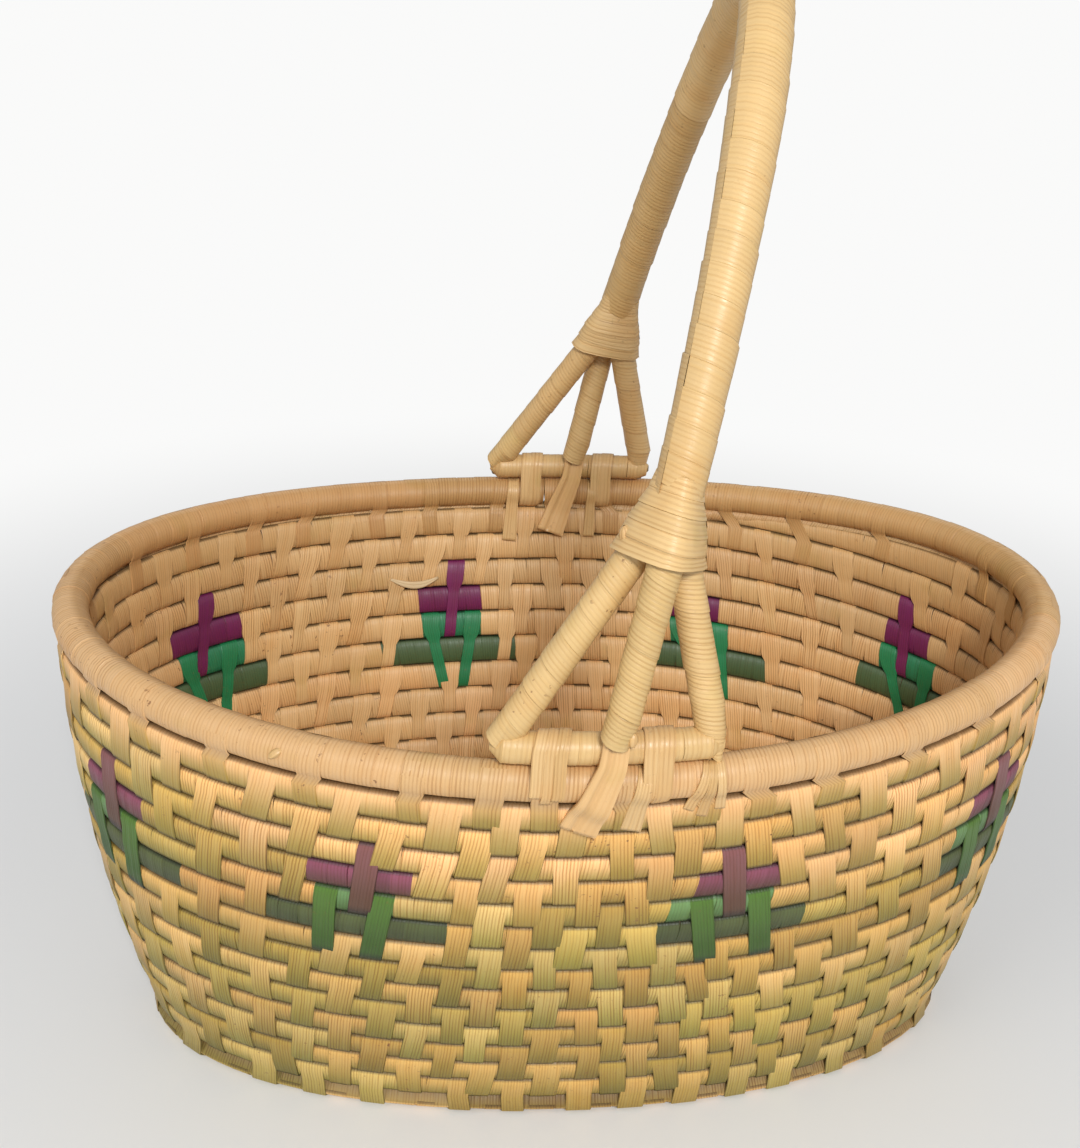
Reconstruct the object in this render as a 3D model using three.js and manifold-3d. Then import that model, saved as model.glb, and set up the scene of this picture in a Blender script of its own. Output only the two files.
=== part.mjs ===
// Oval basket coiled from palm leaf, with an arched handle that stands on the rim on two three-legged feet.
// Millimetres, +Z up. The oval is long along X, its front is at -Y, and it stands on Z = 0.
import * as THREE from 'three';
import { mergeVertices } from 'three/addons/utils/BufferGeometryUtils.js';
import Module from 'manifold-3d';

const wasm = await Module();
wasm.setup();

// Basket: every outline size is taken on the centre line of the coil
const baseHalfLength = 161;
const baseHalfWidth = 71;
const baseFullness = 2.2; // outline exponent: 2 is an ellipse, more is squarer
const baseCoreHalfLength = 80; // the straight run that the base is wound round
const coreEndTightness = 11; // how sharply the first courses turn at the ends of that run
const rimHalfLength = 180;
const rimHalfWidth = 116;
const rimFullness = 2;
const rimHeight = 181; // at the middle of the long sides
const rimEndRise = 9; // how much higher the rim runs at the two ends
const endBulge = 1.5; // how far the ends belly out on their way up
const sideBulge = 0.12;

// Coil: a bundle wrapped in leaf, laid round and round
const coursePitch = 12.1; // wanted height of one course, fitted to whole courses
const coilThickness = 10.5;
const coilGap = 0.5; // between neighbouring courses of the wall
const baseCoilGap = 0.9; // and of the base
const groundCut = 0.1; // share of the coil's thickness pressed flat where it stands
const coilStartSize = 0.8; // the bundle starts thin in the middle of the base
const coilThinUntil = 0.75; // in turns
const coilFullFrom = 1.25;
const coilThinnest = 0.4; // share of the full thickness where the coil has thinned out to nothing
const coilRoundness = 1.1; // at most this many times as thick through as it is high
const stepShare = 6 / 32; // part of each turn in which the coil steps to the next course
const coilStartTurn = 0.25; // at the left end of the core
const coilStraightUntil = 0.5; // its first run lies straight
const coilStartLevel = 0.35; // reaching out towards the course that comes round it
const taperEnd = 0.8; // how far into the last step the thinning end reaches
const firstAngle = Math.PI / 2; // every turn starts at the middle of the back
const rimDiameter = 13;

// Handle: three leaf ribs bound into one shaft, parting into three legs over each foot
const ribDiameter = 5.4;
const shaftDiameter = 15;
const gripSwell = 1.9; // extra diameter over the top, where the hand holds it
const gripStart = 0.1; // shares of the shaft's way from front to back
const gripFull = 0.3;
const gripShrinks = 0.55;
const gripEnd = 0.8;
const legDiameter = 10.5;
const footDiameter = 10.4;
const footHalfSpan = 32; // from the middle of a foot to an outer leg
const middleLegShift = 1.5; // the middle leg comes down this much to the right of the foot's middle
const outerLegEnd = 0.5; // the outer legs end this share of the foot's radius above its centre
const handleX = 8.5; // where the handle stands along the rim
const footSkew = 2.5; // the back foot stands this much to the right of that, the front foot to the left
const handleRise = 216; // from the feet to the top, measured in the arch's own leaning plane
const handleLean = THREE.MathUtils.degToRad(12.8); // to the right
const archAcross = 1.6; // outline exponents of the arch
const archUp = 1.7;
const forkHeight = 64; // where the legs come together
const bindingOverlap = 4; // how far the fork binding reaches down over the legs
const bindingLength = 20; // from the top of the legs to the start of the shaft's wrap
const bindingWall = 1.5;
const bindingEase = 1.2; // its inside over the leg tops, in radii of a leg
const wrapClearance = 0.3; // between a rib and the leaf wound over it
const seatClearance = 0.3; // between pieces that rest on each other

// Straps: the bare flat ends of the middle rib, laid over the rim
const strapWidth = 11;
const strapThickness = 2.8;
const strapDrop = 16; // below the centre of the rim
const strapSlant = 10; // how far the strap runs to the left on its way down
const strapLeavesRim = 0.6; // in rim radii below its centre, where it turns in to the wall

// Lashings: leaf strips that hold each foot to the rim
const lashingWidth = 6;
const lashingThickness = 1;
const lashingDrop = 5;
const lashingPlaces = { left: -16, right: 16 }; // from the middle of the foot

// Facets
const stepsPerTurn = 32;
const coilSides = 6;
const leastRingSpacing = 2; // rings of the coil closer than this are left out
const profileSteps = 40;
const rimSteps = 56;
const rimSides = 8;
const shaftSteps = 34;
const sleeveSides = 12;
const ribSides = 6;
const middleRibSides = 8;
const ribLegSteps = 3;
const legSteps = 4;
const bindingSteps = 5;
const footSteps = 8;
const footSides = 8;
const strapSteps = 6;
const lashingSegments = 8;
const smallTurn = 0.01; // radians, to measure which way a curve runs
const roundingSlack = 1e-9; // turns

const rimRadius = rimDiameter / 2;
const footRadius = footDiameter / 2;
const legRadius = legDiameter / 2;
const ribRadius = ribDiameter / 2;
const coilRadius = coilThickness / 2;
const groundCourseHeight = coilRadius - groundCut * coilThickness;

const leafMaterial = (color) => new THREE.MeshStandardMaterial({ color, roughness: 0.62, metalness: 0 });
const coilLeaf = leafMaterial(0xcfae78);
const rimLeaf = leafMaterial(0xd8b884);
const handleLeaf = leafMaterial(0xdcbb84);
const bareRib = leafMaterial(0xcf9f62);
const strapLeaf = leafMaterial(0xc9b26f);

const lerp = THREE.MathUtils.lerp;
const vec = (x, y, z) => new THREE.Vector3(x, y, z);

// Closed mesh through rings of equally many points, capped flat at both ends
function facesBetween(a, b, sides, index) {
  for (let j = 0; j < sides; j++) {
    const next = (j + 1) % sides;
    index.push(a + j, a + next, b + next, a + j, b + next, b + j);
  }
}

function closedGeometry(points, index) {
  let volume = 0;
  for (let i = 0; i < index.length; i += 3) {
    const [p, q, r] = [points[index[i]], points[index[i + 1]], points[index[i + 2]]];
    volume += p.dot(vec().crossVectors(q, r));
  }
  if (volume < 0) {
    index.reverse();
  }
  const geometry = new THREE.BufferGeometry();
  const numbers = points.flatMap((p) => p.toArray());
  geometry.setAttribute('position', new THREE.Float32BufferAttribute(numbers, 3));
  geometry.setIndex(index);
  return geometry;
}

function loft(rings) {
  const sides = rings[0].length;
  const index = [];
  for (let i = 0; i + 1 < rings.length; i++) {
    facesBetween(i * sides, (i + 1) * sides, sides, index);
  }
  const last = (rings.length - 1) * sides;
  for (let j = 1; j + 1 < sides; j++) {
    index.push(0, j + 1, j, last, last + j, last + j + 1);
  }
  return closedGeometry(rings.flat(), index);
}

// The same with a bore: outer and inner rings, joined across both ends
function sleeve(outer, inner) {
  const sides = outer[0].length;
  const start = outer.length * sides;
  const index = [];
  for (let i = 0; i + 1 < outer.length; i++) {
    facesBetween(i * sides, (i + 1) * sides, sides, index);
    facesBetween(start + (i + 1) * sides, start + i * sides, sides, index);
  }
  facesBetween(start, 0, sides, index);
  const last = (outer.length - 1) * sides;
  facesBetween(last, start + last, sides, index);
  return closedGeometry([...outer.flat(), ...inner.flat()], index);
}

// Radius of the corners of a ring whose flats lie at the given radius
const overFlats = (radius, sides) => radius / Math.cos(Math.PI / sides);

function ringAt(centre, u, v, halfU, halfV, sides) {
  return Array.from({ length: sides }, (_, j) => {
    const turn = ((j + 0.5) / sides) * 2 * Math.PI;
    const p = centre.clone().addScaledVector(u, halfU * Math.cos(turn));
    return p.addScaledVector(v, halfV * Math.sin(turn));
  });
}

// Two directions square to the way a path runs, the first as near as it can be to a wanted one
function crossFrame(tangent, wanted) {
  const u = wanted.clone().addScaledVector(tangent, -wanted.dot(tangent)).normalize();
  return { u, v: vec().crossVectors(tangent, u) };
}

function directionAt(path, i) {
  return path[Math.min(i + 1, path.length - 1)].clone().sub(path[Math.max(i - 1, 0)]).normalize();
}

function tube(path, radius, sides, wanted) {
  return path.map((p, i) => {
    const { u, v } = crossFrame(directionAt(path, i), wanted);
    return ringAt(p, u, v, radius, radius, sides);
  });
}

function toSolid(geometry) {
  const bare = geometry.clone();
  bare.deleteAttribute('normal');
  bare.deleteAttribute('uv');
  const merged = mergeVertices(bare);
  const vertProperties = new Float32Array(merged.attributes.position.array);
  const triVerts = new Uint32Array(merged.index.array);
  return new wasm.Manifold(new wasm.Mesh({ numProp: 3, vertProperties, triVerts }));
}

function fromSolid(solid) {
  const mesh = solid.getMesh();
  const geometry = new THREE.BufferGeometry();
  geometry.setAttribute('position', new THREE.BufferAttribute(mesh.vertProperties, 3));
  geometry.setIndex(new THREE.BufferAttribute(mesh.triVerts, 1));
  return geometry;
}

const cutBy = (geometry, cutter) => fromSolid(toSolid(geometry).subtract(toSolid(cutter)));

const basket = new THREE.Group();
const handle = new THREE.Group();

function place(group, name, geometry, material) {
  geometry.computeVertexNormals();
  const mesh = new THREE.Mesh(geometry, material);
  mesh.name = name;
  group.add(mesh);
}

// Outline of an oval at the spot where it faces the given way
function ovalPoint(halfLength, halfWidth, fullness, angle) {
  const c = Math.cos(angle);
  const s = Math.sin(angle);
  const dual = fullness / (fullness - 1);
  const reach = ((halfLength * Math.abs(c)) ** dual + (halfWidth * Math.abs(s)) ** dual) ** (1 / dual);
  const power = 1 / (fullness - 1);
  const x = halfLength * ((halfLength * Math.abs(c)) / reach) ** power * Math.sign(c);
  const y = halfWidth * ((halfWidth * Math.abs(s)) / reach) ** power * Math.sign(s);
  return { x, y };
}

const bulged = (t, bulge) => t + bulge * t * (1 - t);
const heightAt = (t, x) => groundCourseHeight
  + t * (rimHeight - groundCourseHeight + rimEndRise * (x / rimHalfLength) ** 2);

function wallPoint(t, angle) {
  const halfLength = lerp(baseHalfLength, rimHalfLength, bulged(t, endBulge));
  const halfWidth = lerp(baseHalfWidth, rimHalfWidth, bulged(t, sideBulge));
  const { x, y } = ovalPoint(halfLength, halfWidth, lerp(baseFullness, rimFullness, t), angle);
  return vec(x, y, heightAt(t, x));
}

// Whole courses that fit on the base and up the middle of a long side
let wallArc = 0;
for (let i = 0; i < profileSteps; i++) {
  const [from, to] = [i, i + 1].map((step) => wallPoint(step / profileSteps, firstAngle));
  wallArc += from.distanceTo(to);
}
const baseTurns = Math.round(baseHalfWidth / coursePitch);
const wallTurns = Math.round((wallArc - rimRadius) / coursePitch - 0.5);
const wallPitch = (wallArc - rimRadius - coilGap) / (wallTurns + 0.5);

// A blunt oval: two half circles joined by straight runs
function bluntOvalPoint(halfLength, halfWidth, angle) {
  const straight = (halfLength - halfWidth) * Math.tanh(coreEndTightness * Math.cos(angle));
  return { x: halfWidth * Math.cos(angle) + straight, y: halfWidth * Math.sin(angle) };
}

// Level 0 is the core of the base, level baseTurns the course on the ground, and the wall goes on upwards
function coursePoint(level, angle) {
  if (level > baseTurns) {
    return wallPoint(((level - baseTurns) * wallPitch) / wallArc, angle);
  }
  const share = level / baseTurns;
  const core = bluntOvalPoint(baseCoreHalfLength, 0, angle);
  const edge = ovalPoint(baseHalfLength, baseHalfWidth, baseFullness, angle);
  const blunt = bluntOvalPoint(baseHalfLength, baseHalfWidth, angle);
  const bluntness = (1 - share) ** 2;
  const x = lerp(core.x, lerp(edge.x, blunt.x, bluntness), share);
  const y = lerp(core.y, lerp(edge.y, blunt.y, bluntness), share);
  return vec(x, y, groundCourseHeight);
}

const eased = (t) => THREE.MathUtils.smoothstep(t, 0, 1);
const topLevel = baseTurns + wallTurns;

// Turns counted from the middle of the back, spread so that the long sides get their share of the steps
function facingAngle(turns) {
  const round = firstAngle + turns * 2 * Math.PI;
  return Math.atan2(rimHalfLength * Math.sin(round), rimHalfWidth * Math.cos(round));
}

// The coil lies level, and steps up or out to the next course in the last part of each turn
function coilPlace(turns) {
  const level = Math.min(Math.floor(turns + roundingSlack), topLevel);
  const step = eased((turns - level - (1 - stepShare)) / stepShare);
  const angle = facingAngle(turns);
  if (level === topLevel) {
    return { level: level + step / 2, angle, size: 1 - step, step };
  }
  const size = lerp(coilStartSize, 1, eased((turns - coilThinUntil) / (coilFullFrom - coilThinUntil)));
  return { level: turns <= coilStartTurn ? coilStartLevel : level + step, angle, size, step: 0 };
}

function squareTo(tangent, v) {
  return v.addScaledVector(tangent, -v.dot(tangent));
}

// A section as high as its course, so that the turns lie on each other with one even gap
function coilSection({ turns, level, angle: facing, size }, centre, tangent) {
  const angle = turns < coilStraightUntil ? facingAngle(coilStraightUntil) : facing;
  const across = squareTo(tangent, coursePoint(level + 1, angle).sub(coursePoint(level - 1, angle)));
  const above = squareTo(tangent, coursePoint(level + 1, angle).sub(coursePoint(level, angle))).length();
  const below = squareTo(tangent, coursePoint(level, angle).sub(coursePoint(level - 1, angle))).length();
  const gap = level < baseTurns ? baseCoilGap : coilGap;
  const halfAcross = (Math.min(above, below) * size - gap) / 2;
  const halfThrough = Math.min(coilRadius * lerp(coilThinnest, 1, size), coilRoundness * halfAcross);
  across.normalize();
  const through = vec().crossVectors(tangent, across);
  return Array.from({ length: coilSides }, (_, j) => {
    const turn = (j / coilSides) * 2 * Math.PI;
    const alongAcross = halfAcross * Math.cos(turn);
    const alongThrough = overFlats(halfThrough, coilSides) * Math.sin(turn);
    const p = centre.clone().addScaledVector(across, alongAcross).addScaledVector(through, alongThrough);
    p.z = Math.max(p.z, 0);
    return p;
  });
}

function coilRings(firstTurn, lastTurn) {
  const kept = [];
  for (let i = Math.round(firstTurn * stepsPerTurn); i <= Math.round(lastTurn * stepsPerTurn); i++) {
    const spot = { turns: i / stepsPerTurn, ...coilPlace(i / stepsPerTurn) };
    spot.centre = coursePoint(spot.level, spot.angle);
    const farEnough = !kept.length || spot.centre.distanceTo(kept.at(-1).centre) > leastRingSpacing;
    if (farEnough && spot.step <= taperEnd) {
      kept.push(spot);
    }
  }
  const path = kept.map((spot) => spot.centre);
  const tangents = kept.map((_, i) => directionAt(path, i));
  path[0].addScaledVector(tangents[0], coilGap);
  path.at(-1).addScaledVector(tangents.at(-1), -coilGap);
  return kept.map((spot, i) => ({ turns: spot.turns, ring: coilSection(spot, path[i], tangents[i]) }));
}

const baseRings = coilRings(coilStartTurn, baseTurns);
const wallRings = coilRings(baseTurns, topLevel + 1);
place(basket, 'base_coil', loft(baseRings.map(({ ring }) => ring)), coilLeaf);
place(basket, 'wall_coil', loft(wallRings.map(({ ring }) => ring)), coilLeaf);

// Least gap of the coil to itself, on its points and on the middles between them along the coil
const sameCourseTurns = 0.6; // spots closer than this along the coil are neighbours in one course
function leastGap(rings) {
  const spots = [];
  rings.forEach(({ turns, ring }, i) => ring.forEach((p, j) => {
    spots.push({ turns, p });
    if (i + 1 < rings.length) {
      const between = p.clone().lerp(rings[i + 1].ring[j], 0.5);
      spots.push({ turns: (turns + rings[i + 1].turns) / 2, p: between });
    }
  }));
  let least = Infinity;
  for (const a of spots) {
    for (const b of spots) {
      if (b.turns - a.turns > sameCourseTurns) {
        least = Math.min(least, a.p.distanceTo(b.p));
      }
    }
  }
  return least;
}
console.log(`least gap of the base coil to itself ${leastGap(baseRings).toFixed(2)} mm`);
console.log(`least gap of the wall coil to itself ${leastGap(wallRings).toFixed(2)} mm`);

// Rim: one thicker round that ends against its own start at the middle of the back
const rimCorner = overFlats(rimRadius, rimSides);
const rimRings = Array.from({ length: rimSteps + 1 }, (_, i) => {
  const angle = facingAngle(i / rimSteps);
  const ahead = wallPoint(1, angle + smallTurn).sub(wallPoint(1, angle - smallTurn)).normalize();
  const atEnd = i % rimSteps === 0;
  const drawnIn = atEnd ? Math.sign(rimSteps / 2 - i) * coilGap / 2 : 0;
  const centre = wallPoint(1, angle).addScaledVector(ahead, drawnIn);
  const { u, v } = crossFrame(ahead, vec(0, 0, 1));
  return ringAt(centre, u, v, rimCorner, rimCorner, rimSides);
});
place(basket, 'rim_coil', loft(rimRings), rimLeaf);

// Rim line above or below a place along X; side is -1 at the front and 1 at the back
function rimLine(x, side) {
  const y = rimHalfWidth * (1 - Math.abs(x / rimHalfLength) ** rimFullness) ** (1 / rimFullness);
  return vec(x, side * y, heightAt(1, x));
}

const footHeight = rimRadius + footRadius + seatClearance;
const footLine = (x, side) => rimLine(x, side).add(vec(0, 0, footHeight));

// Arch: centre line of the shaft, in a plane that leans to the right
const leanUp = vec(Math.sin(handleLean), 0, Math.cos(handleLean));
const sideways = vec(Math.cos(handleLean), 0, -Math.sin(handleLean));
const archFoot = footLine(handleX, 1);

function archAt(turn) {
  const out = -Math.sign(Math.cos(turn)) * Math.abs(Math.cos(turn)) ** (2 / archAcross);
  const up = handleRise * Math.sin(turn) ** (2 / archUp);
  return vec(archFoot.x + footSkew * out, archFoot.y * out, archFoot.z).addScaledVector(leanUp, up);
}

const turnAtHeight = (up) => Math.asin((up / handleRise) ** (archUp / 2));

function archFrame(turn) {
  const tangent = archAt(turn + smallTurn).sub(archAt(turn - smallTurn)).normalize();
  const side = squareTo(tangent, sideways.clone()).normalize();
  return { centre: archAt(turn), side, out: vec().crossVectors(tangent, side).negate() };
}

// Places of the left, middle and right rib in a bundle: a triangle with its point outwards
const ribPlaces = { left: -1, middle: 0, right: 1 };
function bundleSpot(frame, which, spacing) {
  const outward = which === 0 ? spacing / Math.sqrt(3) : -spacing / Math.sqrt(12);
  const p = frame.centre.clone().addScaledVector(frame.side, (which * spacing) / 2);
  return p.addScaledVector(frame.out, outward);
}

const ribSpacing = ribDiameter + wrapClearance;
const legSpacing = 2 * overFlats(legRadius, sleeveSides) + wrapClearance;
const legBoreRadius = ribRadius + wrapClearance;
const shaftBoreRadius = ribSpacing / Math.sqrt(3) + ribRadius + wrapClearance;
const shaftStart = turnAtHeight(forkHeight + bindingLength + wrapClearance);
const backwards = (end, turn) => (end < 0 ? turn : Math.PI - turn);

// Lower end of each leg: the outer ones on the ends of the foot, the middle one beside it.
// The middle rib lies outside the rim at the front and inside it at the back.
function legEnd(end, which) {
  const x = handleX + end * footSkew;
  if (which !== 0) {
    return footLine(x + which * footHalfSpan, end).add(vec(0, 0, footRadius * outerLegEnd));
  }
  const inFront = vec(0, -(footRadius + strapThickness / 2), footRadius + seatClearance);
  return footLine(x + middleLegShift, end).add(inFront);
}

function legPath(end, which, steps) {
  const top = bundleSpot(archFrame(backwards(end, turnAtHeight(forkHeight))), which, legSpacing);
  const bottom = legEnd(end, which);
  return Array.from({ length: steps + 1 }, (_, i) => top.clone().lerp(bottom, i / steps));
}

const ends = { front: -1, rear: 1 };

// Feet: short coils on the rim, with a fatter copy to cut what stands on them
function footRings(end, extra) {
  const middle = handleX + end * footSkew;
  const reach = footHalfSpan + legRadius;
  const path = Array.from({ length: footSteps + 1 }, (_, i) =>
    footLine(middle + lerp(-reach, reach, i / footSteps), end));
  path[0].x -= extra;
  path.at(-1).x += extra;
  return tube(path, overFlats(footRadius + extra, footSides), footSides, vec(0, 0, 1));
}

// Middle rib's strap: from beside the foot down along the rim and onto the first course below it
const wallLean = ((rimHalfWidth - baseHalfWidth) * (1 - sideBulge)) / (rimHeight - groundCourseHeight);
function strapPath(end) {
  const start = legEnd(end, 0);
  const rimCentre = rimLine(start.x, end);
  return Array.from({ length: strapSteps + 1 }, (_, i) => {
    const share = i / strapSteps;
    const z = lerp(footHeight, -strapDrop, share);
    const wallFace = coilRadius - end * wallLean * z;
    const rest = lerp(rimRadius, wallFace, eased(-z / rimRadius - strapLeavesRim));
    const away = rest + 2 * seatClearance + strapThickness / 2;
    return vec(start.x - strapSlant * share, rimCentre.y - away, rimCentre.z + z);
  });
}

function ribPath(which) {
  const inBinding = (end) => {
    const frame = archFrame(backwards(end, turnAtHeight(forkHeight + bindingLength / 2)));
    return bundleSpot(frame, which, (legSpacing + ribSpacing) / 2);
  };
  const shaft = Array.from({ length: shaftSteps + 1 }, (_, i) => {
    const turn = lerp(shaftStart, Math.PI - shaftStart, i / shaftSteps);
    return bundleSpot(archFrame(turn), which, ribSpacing);
  });
  const [frontLeg, rearLeg] = [-1, 1].map((end) => legPath(end, which, ribLegSteps));
  return [...frontLeg.reverse(), inBinding(-1), ...shaft, inBinding(1), ...rearLeg];
}

for (const [end, sign] of Object.entries(ends)) {
  place(handle, `${end}_foot_coil`, loft(footRings(sign, 0)), handleLeaf);
}

const clearOfFeet = (geometry) => cutBy(cutBy(geometry, loft(footRings(-1, seatClearance))),
  loft(footRings(1, seatClearance)));

for (const name of ['left', 'right']) {
  const rib = loft(tube(ribPath(ribPlaces[name]), ribRadius, ribSides, sideways));
  place(handle, `${name}_rib`, clearOfFeet(rib), bareRib);
}

// The middle rib is round inside the wrap and flat where it is bare
function middleRibRings() {
  const path = [...strapPath(-1).reverse(), ...ribPath(0), ...strapPath(1)];
  const strapPoints = strapSteps + 1;
  return path.map((p, i) => {
    const inWrap = i >= strapPoints && i < path.length - strapPoints;
    const { u, v } = crossFrame(directionAt(path, i), inWrap ? sideways : vec(1, 0, 0));
    const halfWide = inWrap ? ribRadius : strapWidth / 2;
    const halfThick = inWrap ? ribRadius : strapThickness / 2;
    return ringAt(p, u, v, halfWide, halfThick, middleRibSides);
  });
}
place(handle, 'middle_rib', loft(middleRibRings()), bareRib);

// Shaft wrap, thicker over the top
const shaftFrames = Array.from({ length: shaftSteps + 1 }, (_, i) =>
  archFrame(lerp(shaftStart, Math.PI - shaftStart, i / shaftSteps)));
const shaftRings = (radiusAt) => shaftFrames.map(({ centre, side, out }, i) => {
  const corner = overFlats(radiusAt(i / shaftSteps), sleeveSides);
  return ringAt(centre, side, out, corner, corner, sleeveSides);
});
const gripAt = (share) => eased((share - gripStart) / (gripFull - gripStart))
  * eased((gripEnd - share) / (gripEnd - gripShrinks));
place(handle, 'shaft_wrap', sleeve(
  shaftRings((share) => (shaftDiameter + gripSwell * gripAt(share)) / 2),
  shaftRings(() => shaftBoreRadius),
), handleLeaf);

// Outline round three equal circles, as a wrap pulled tight over them lies
function wrapRound(frame, spots, radius) {
  const centres = spots.map((p) => {
    const from = p.clone().sub(frame.centre);
    return new THREE.Vector2(from.dot(frame.side), from.dot(frame.out));
  });
  return Array.from({ length: sleeveSides }, (_, j) => {
    const turn = ((j + 0.5) / sleeveSides) * 2 * Math.PI;
    const way = new THREE.Vector2(Math.cos(turn), Math.sin(turn));
    const reaches = centres.map((c) => c.dot(way));
    const spot = centres[reaches.indexOf(Math.max(...reaches))].clone().addScaledVector(way, radius);
    return frame.centre.clone().addScaledVector(frame.side, spot.x).addScaledVector(frame.out, spot.y);
  });
}

const allPlaces = Object.values(ribPlaces);
for (const [end, sign] of Object.entries(ends)) {
  // Leg wraps, cut to sit on the foot coil
  for (const [name, which] of Object.entries(ribPlaces)) {
    const path = legPath(sign, which, legSteps);
    const outer = tube(path, overFlats(legRadius, sleeveSides), sleeveSides, sideways);
    const inner = tube(path, overFlats(legBoreRadius, sleeveSides), sleeveSides, sideways);
    place(handle, `${end}_${name}_leg_wrap`, clearOfFeet(sleeve(outer, inner)), handleLeaf);
  }

  // Fork binding: drawn in from the three leg tops to the shaft
  const legs = allPlaces.map((which) => legPath(sign, which, 1));
  const rings = Array.from({ length: bindingSteps + 1 }, (_, i) => {
    const above = lerp(-bindingOverlap, bindingLength, i / bindingSteps);
    const frame = archFrame(backwards(sign, turnAtHeight(forkHeight + above)));
    const share = eased(above / bindingLength);
    const spots = allPlaces.map((which, k) => (above < 0
      ? legs[k][0].clone().lerp(legs[k][1], -above / forkHeight)
      : bundleSpot(frame, which, lerp(legSpacing, ribSpacing, share))));
    const legReach = legRadius * bindingEase + wrapClearance;
    const shaftReach = shaftBoreRadius - ribSpacing / Math.sqrt(3);
    const radius = overFlats(lerp(legReach, shaftReach, share), sleeveSides);
    return { inner: wrapRound(frame, spots, radius), outer: wrapRound(frame, spots, radius + bindingWall) };
  });
  const binding = sleeve(rings.map((r) => r.outer), rings.map((r) => r.inner));
  place(handle, `${end}_fork_binding`, binding, handleLeaf);

  // Lashings: strips over the foot coil and down both sides of the rim
  for (const [name, offset] of Object.entries(lashingPlaces)) {
    const x = handleX + sign * footSkew + offset;
    const strip = new THREE.Shape();
    const outerRim = rimRadius + seatClearance + lashingThickness;
    const outerFoot = overFlats(footRadius, footSides) + seatClearance + lashingThickness;
    strip.moveTo(-outerRim, -lashingDrop);
    strip.lineTo(-outerRim, rimRadius / 2);
    strip.absarc(0, footHeight, outerFoot, Math.PI, 0, true);
    strip.lineTo(outerRim, rimRadius / 2);
    strip.lineTo(outerRim, -lashingDrop);
    strip.lineTo(outerRim - lashingThickness, -lashingDrop);
    strip.lineTo(outerRim - lashingThickness, rimRadius / 2);
    strip.absarc(0, footHeight, outerFoot - lashingThickness, 0, Math.PI, false);
    strip.lineTo(-outerRim + lashingThickness, rimRadius / 2);
    strip.lineTo(-outerRim + lashingThickness, -lashingDrop);
    strip.closePath();
    const asStrip = { depth: lashingWidth, bevelEnabled: false, curveSegments: lashingSegments };
    const geometry = new THREE.ExtrudeGeometry(strip, asStrip);
    geometry.translate(0, 0, -lashingWidth / 2);
    geometry.deleteAttribute('normal');
    geometry.deleteAttribute('uv');
    const along = rimLine(x + 1, sign).sub(rimLine(x - 1, sign)).normalize();
    const { u: up, v: outward } = crossFrame(along, vec(0, 0, 1));
    const frame = new THREE.Matrix4().makeBasis(outward.negate(), up, along);
    geometry.applyMatrix4(frame.setPosition(rimLine(x, sign)));
    place(handle, `${end}_${name}_lashing`, mergeVertices(geometry), strapLeaf);
  }
}

const palmLeafBasket = new THREE.Group();
palmLeafBasket.add(basket, handle);

export default palmLeafBasket;
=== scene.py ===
import math

import bpy
import numpy as np
from mathutils import Matrix, Vector


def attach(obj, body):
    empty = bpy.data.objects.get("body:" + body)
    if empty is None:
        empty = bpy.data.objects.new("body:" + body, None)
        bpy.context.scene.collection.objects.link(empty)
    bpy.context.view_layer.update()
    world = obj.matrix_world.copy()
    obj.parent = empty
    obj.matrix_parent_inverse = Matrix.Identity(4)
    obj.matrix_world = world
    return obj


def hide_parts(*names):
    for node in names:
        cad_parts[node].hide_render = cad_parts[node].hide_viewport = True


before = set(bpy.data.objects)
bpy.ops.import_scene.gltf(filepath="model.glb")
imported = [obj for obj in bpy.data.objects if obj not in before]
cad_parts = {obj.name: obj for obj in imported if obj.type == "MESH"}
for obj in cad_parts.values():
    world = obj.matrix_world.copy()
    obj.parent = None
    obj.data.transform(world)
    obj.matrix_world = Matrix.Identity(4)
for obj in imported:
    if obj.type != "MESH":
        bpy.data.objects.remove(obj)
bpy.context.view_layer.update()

scene = bpy.context.scene
scene.view_settings.view_transform = "Standard"
bpy.ops.object.select_all(action="DESELECT")

# Camera: stands a little above the basket and left of its middle, with a slight tilt.
camera_azimuth, camera_elevation, camera_tilt = (math.radians(a) for a in (-3.76, 25.86, 1.55))
camera_distance, camera_lens = 0.515, 43.05
camera_aim = Vector((-0.00843, -0.00054, 0.1952))
away = Vector((math.sin(camera_azimuth) * math.cos(camera_elevation),
               -math.cos(camera_azimuth) * math.cos(camera_elevation), math.sin(camera_elevation)))
level_right = Vector((math.cos(camera_azimuth), math.sin(camera_azimuth), 0))
level_up = away.cross(level_right)
camera_right = math.cos(camera_tilt) * level_right + math.sin(camera_tilt) * level_up
camera_up = away.cross(camera_right)
camera = bpy.data.objects.new("camera", bpy.data.cameras.new("camera"))
scene.collection.objects.link(camera)
camera.data.sensor_width = 36
camera.data.lens = camera_lens
camera.data.clip_end = 20
turned = Matrix((camera_right, camera_up, away)).transposed().to_4x4()
camera.matrix_world = Matrix.Translation(camera_aim + camera_distance * away) @ turned
scene.camera = camera


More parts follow.
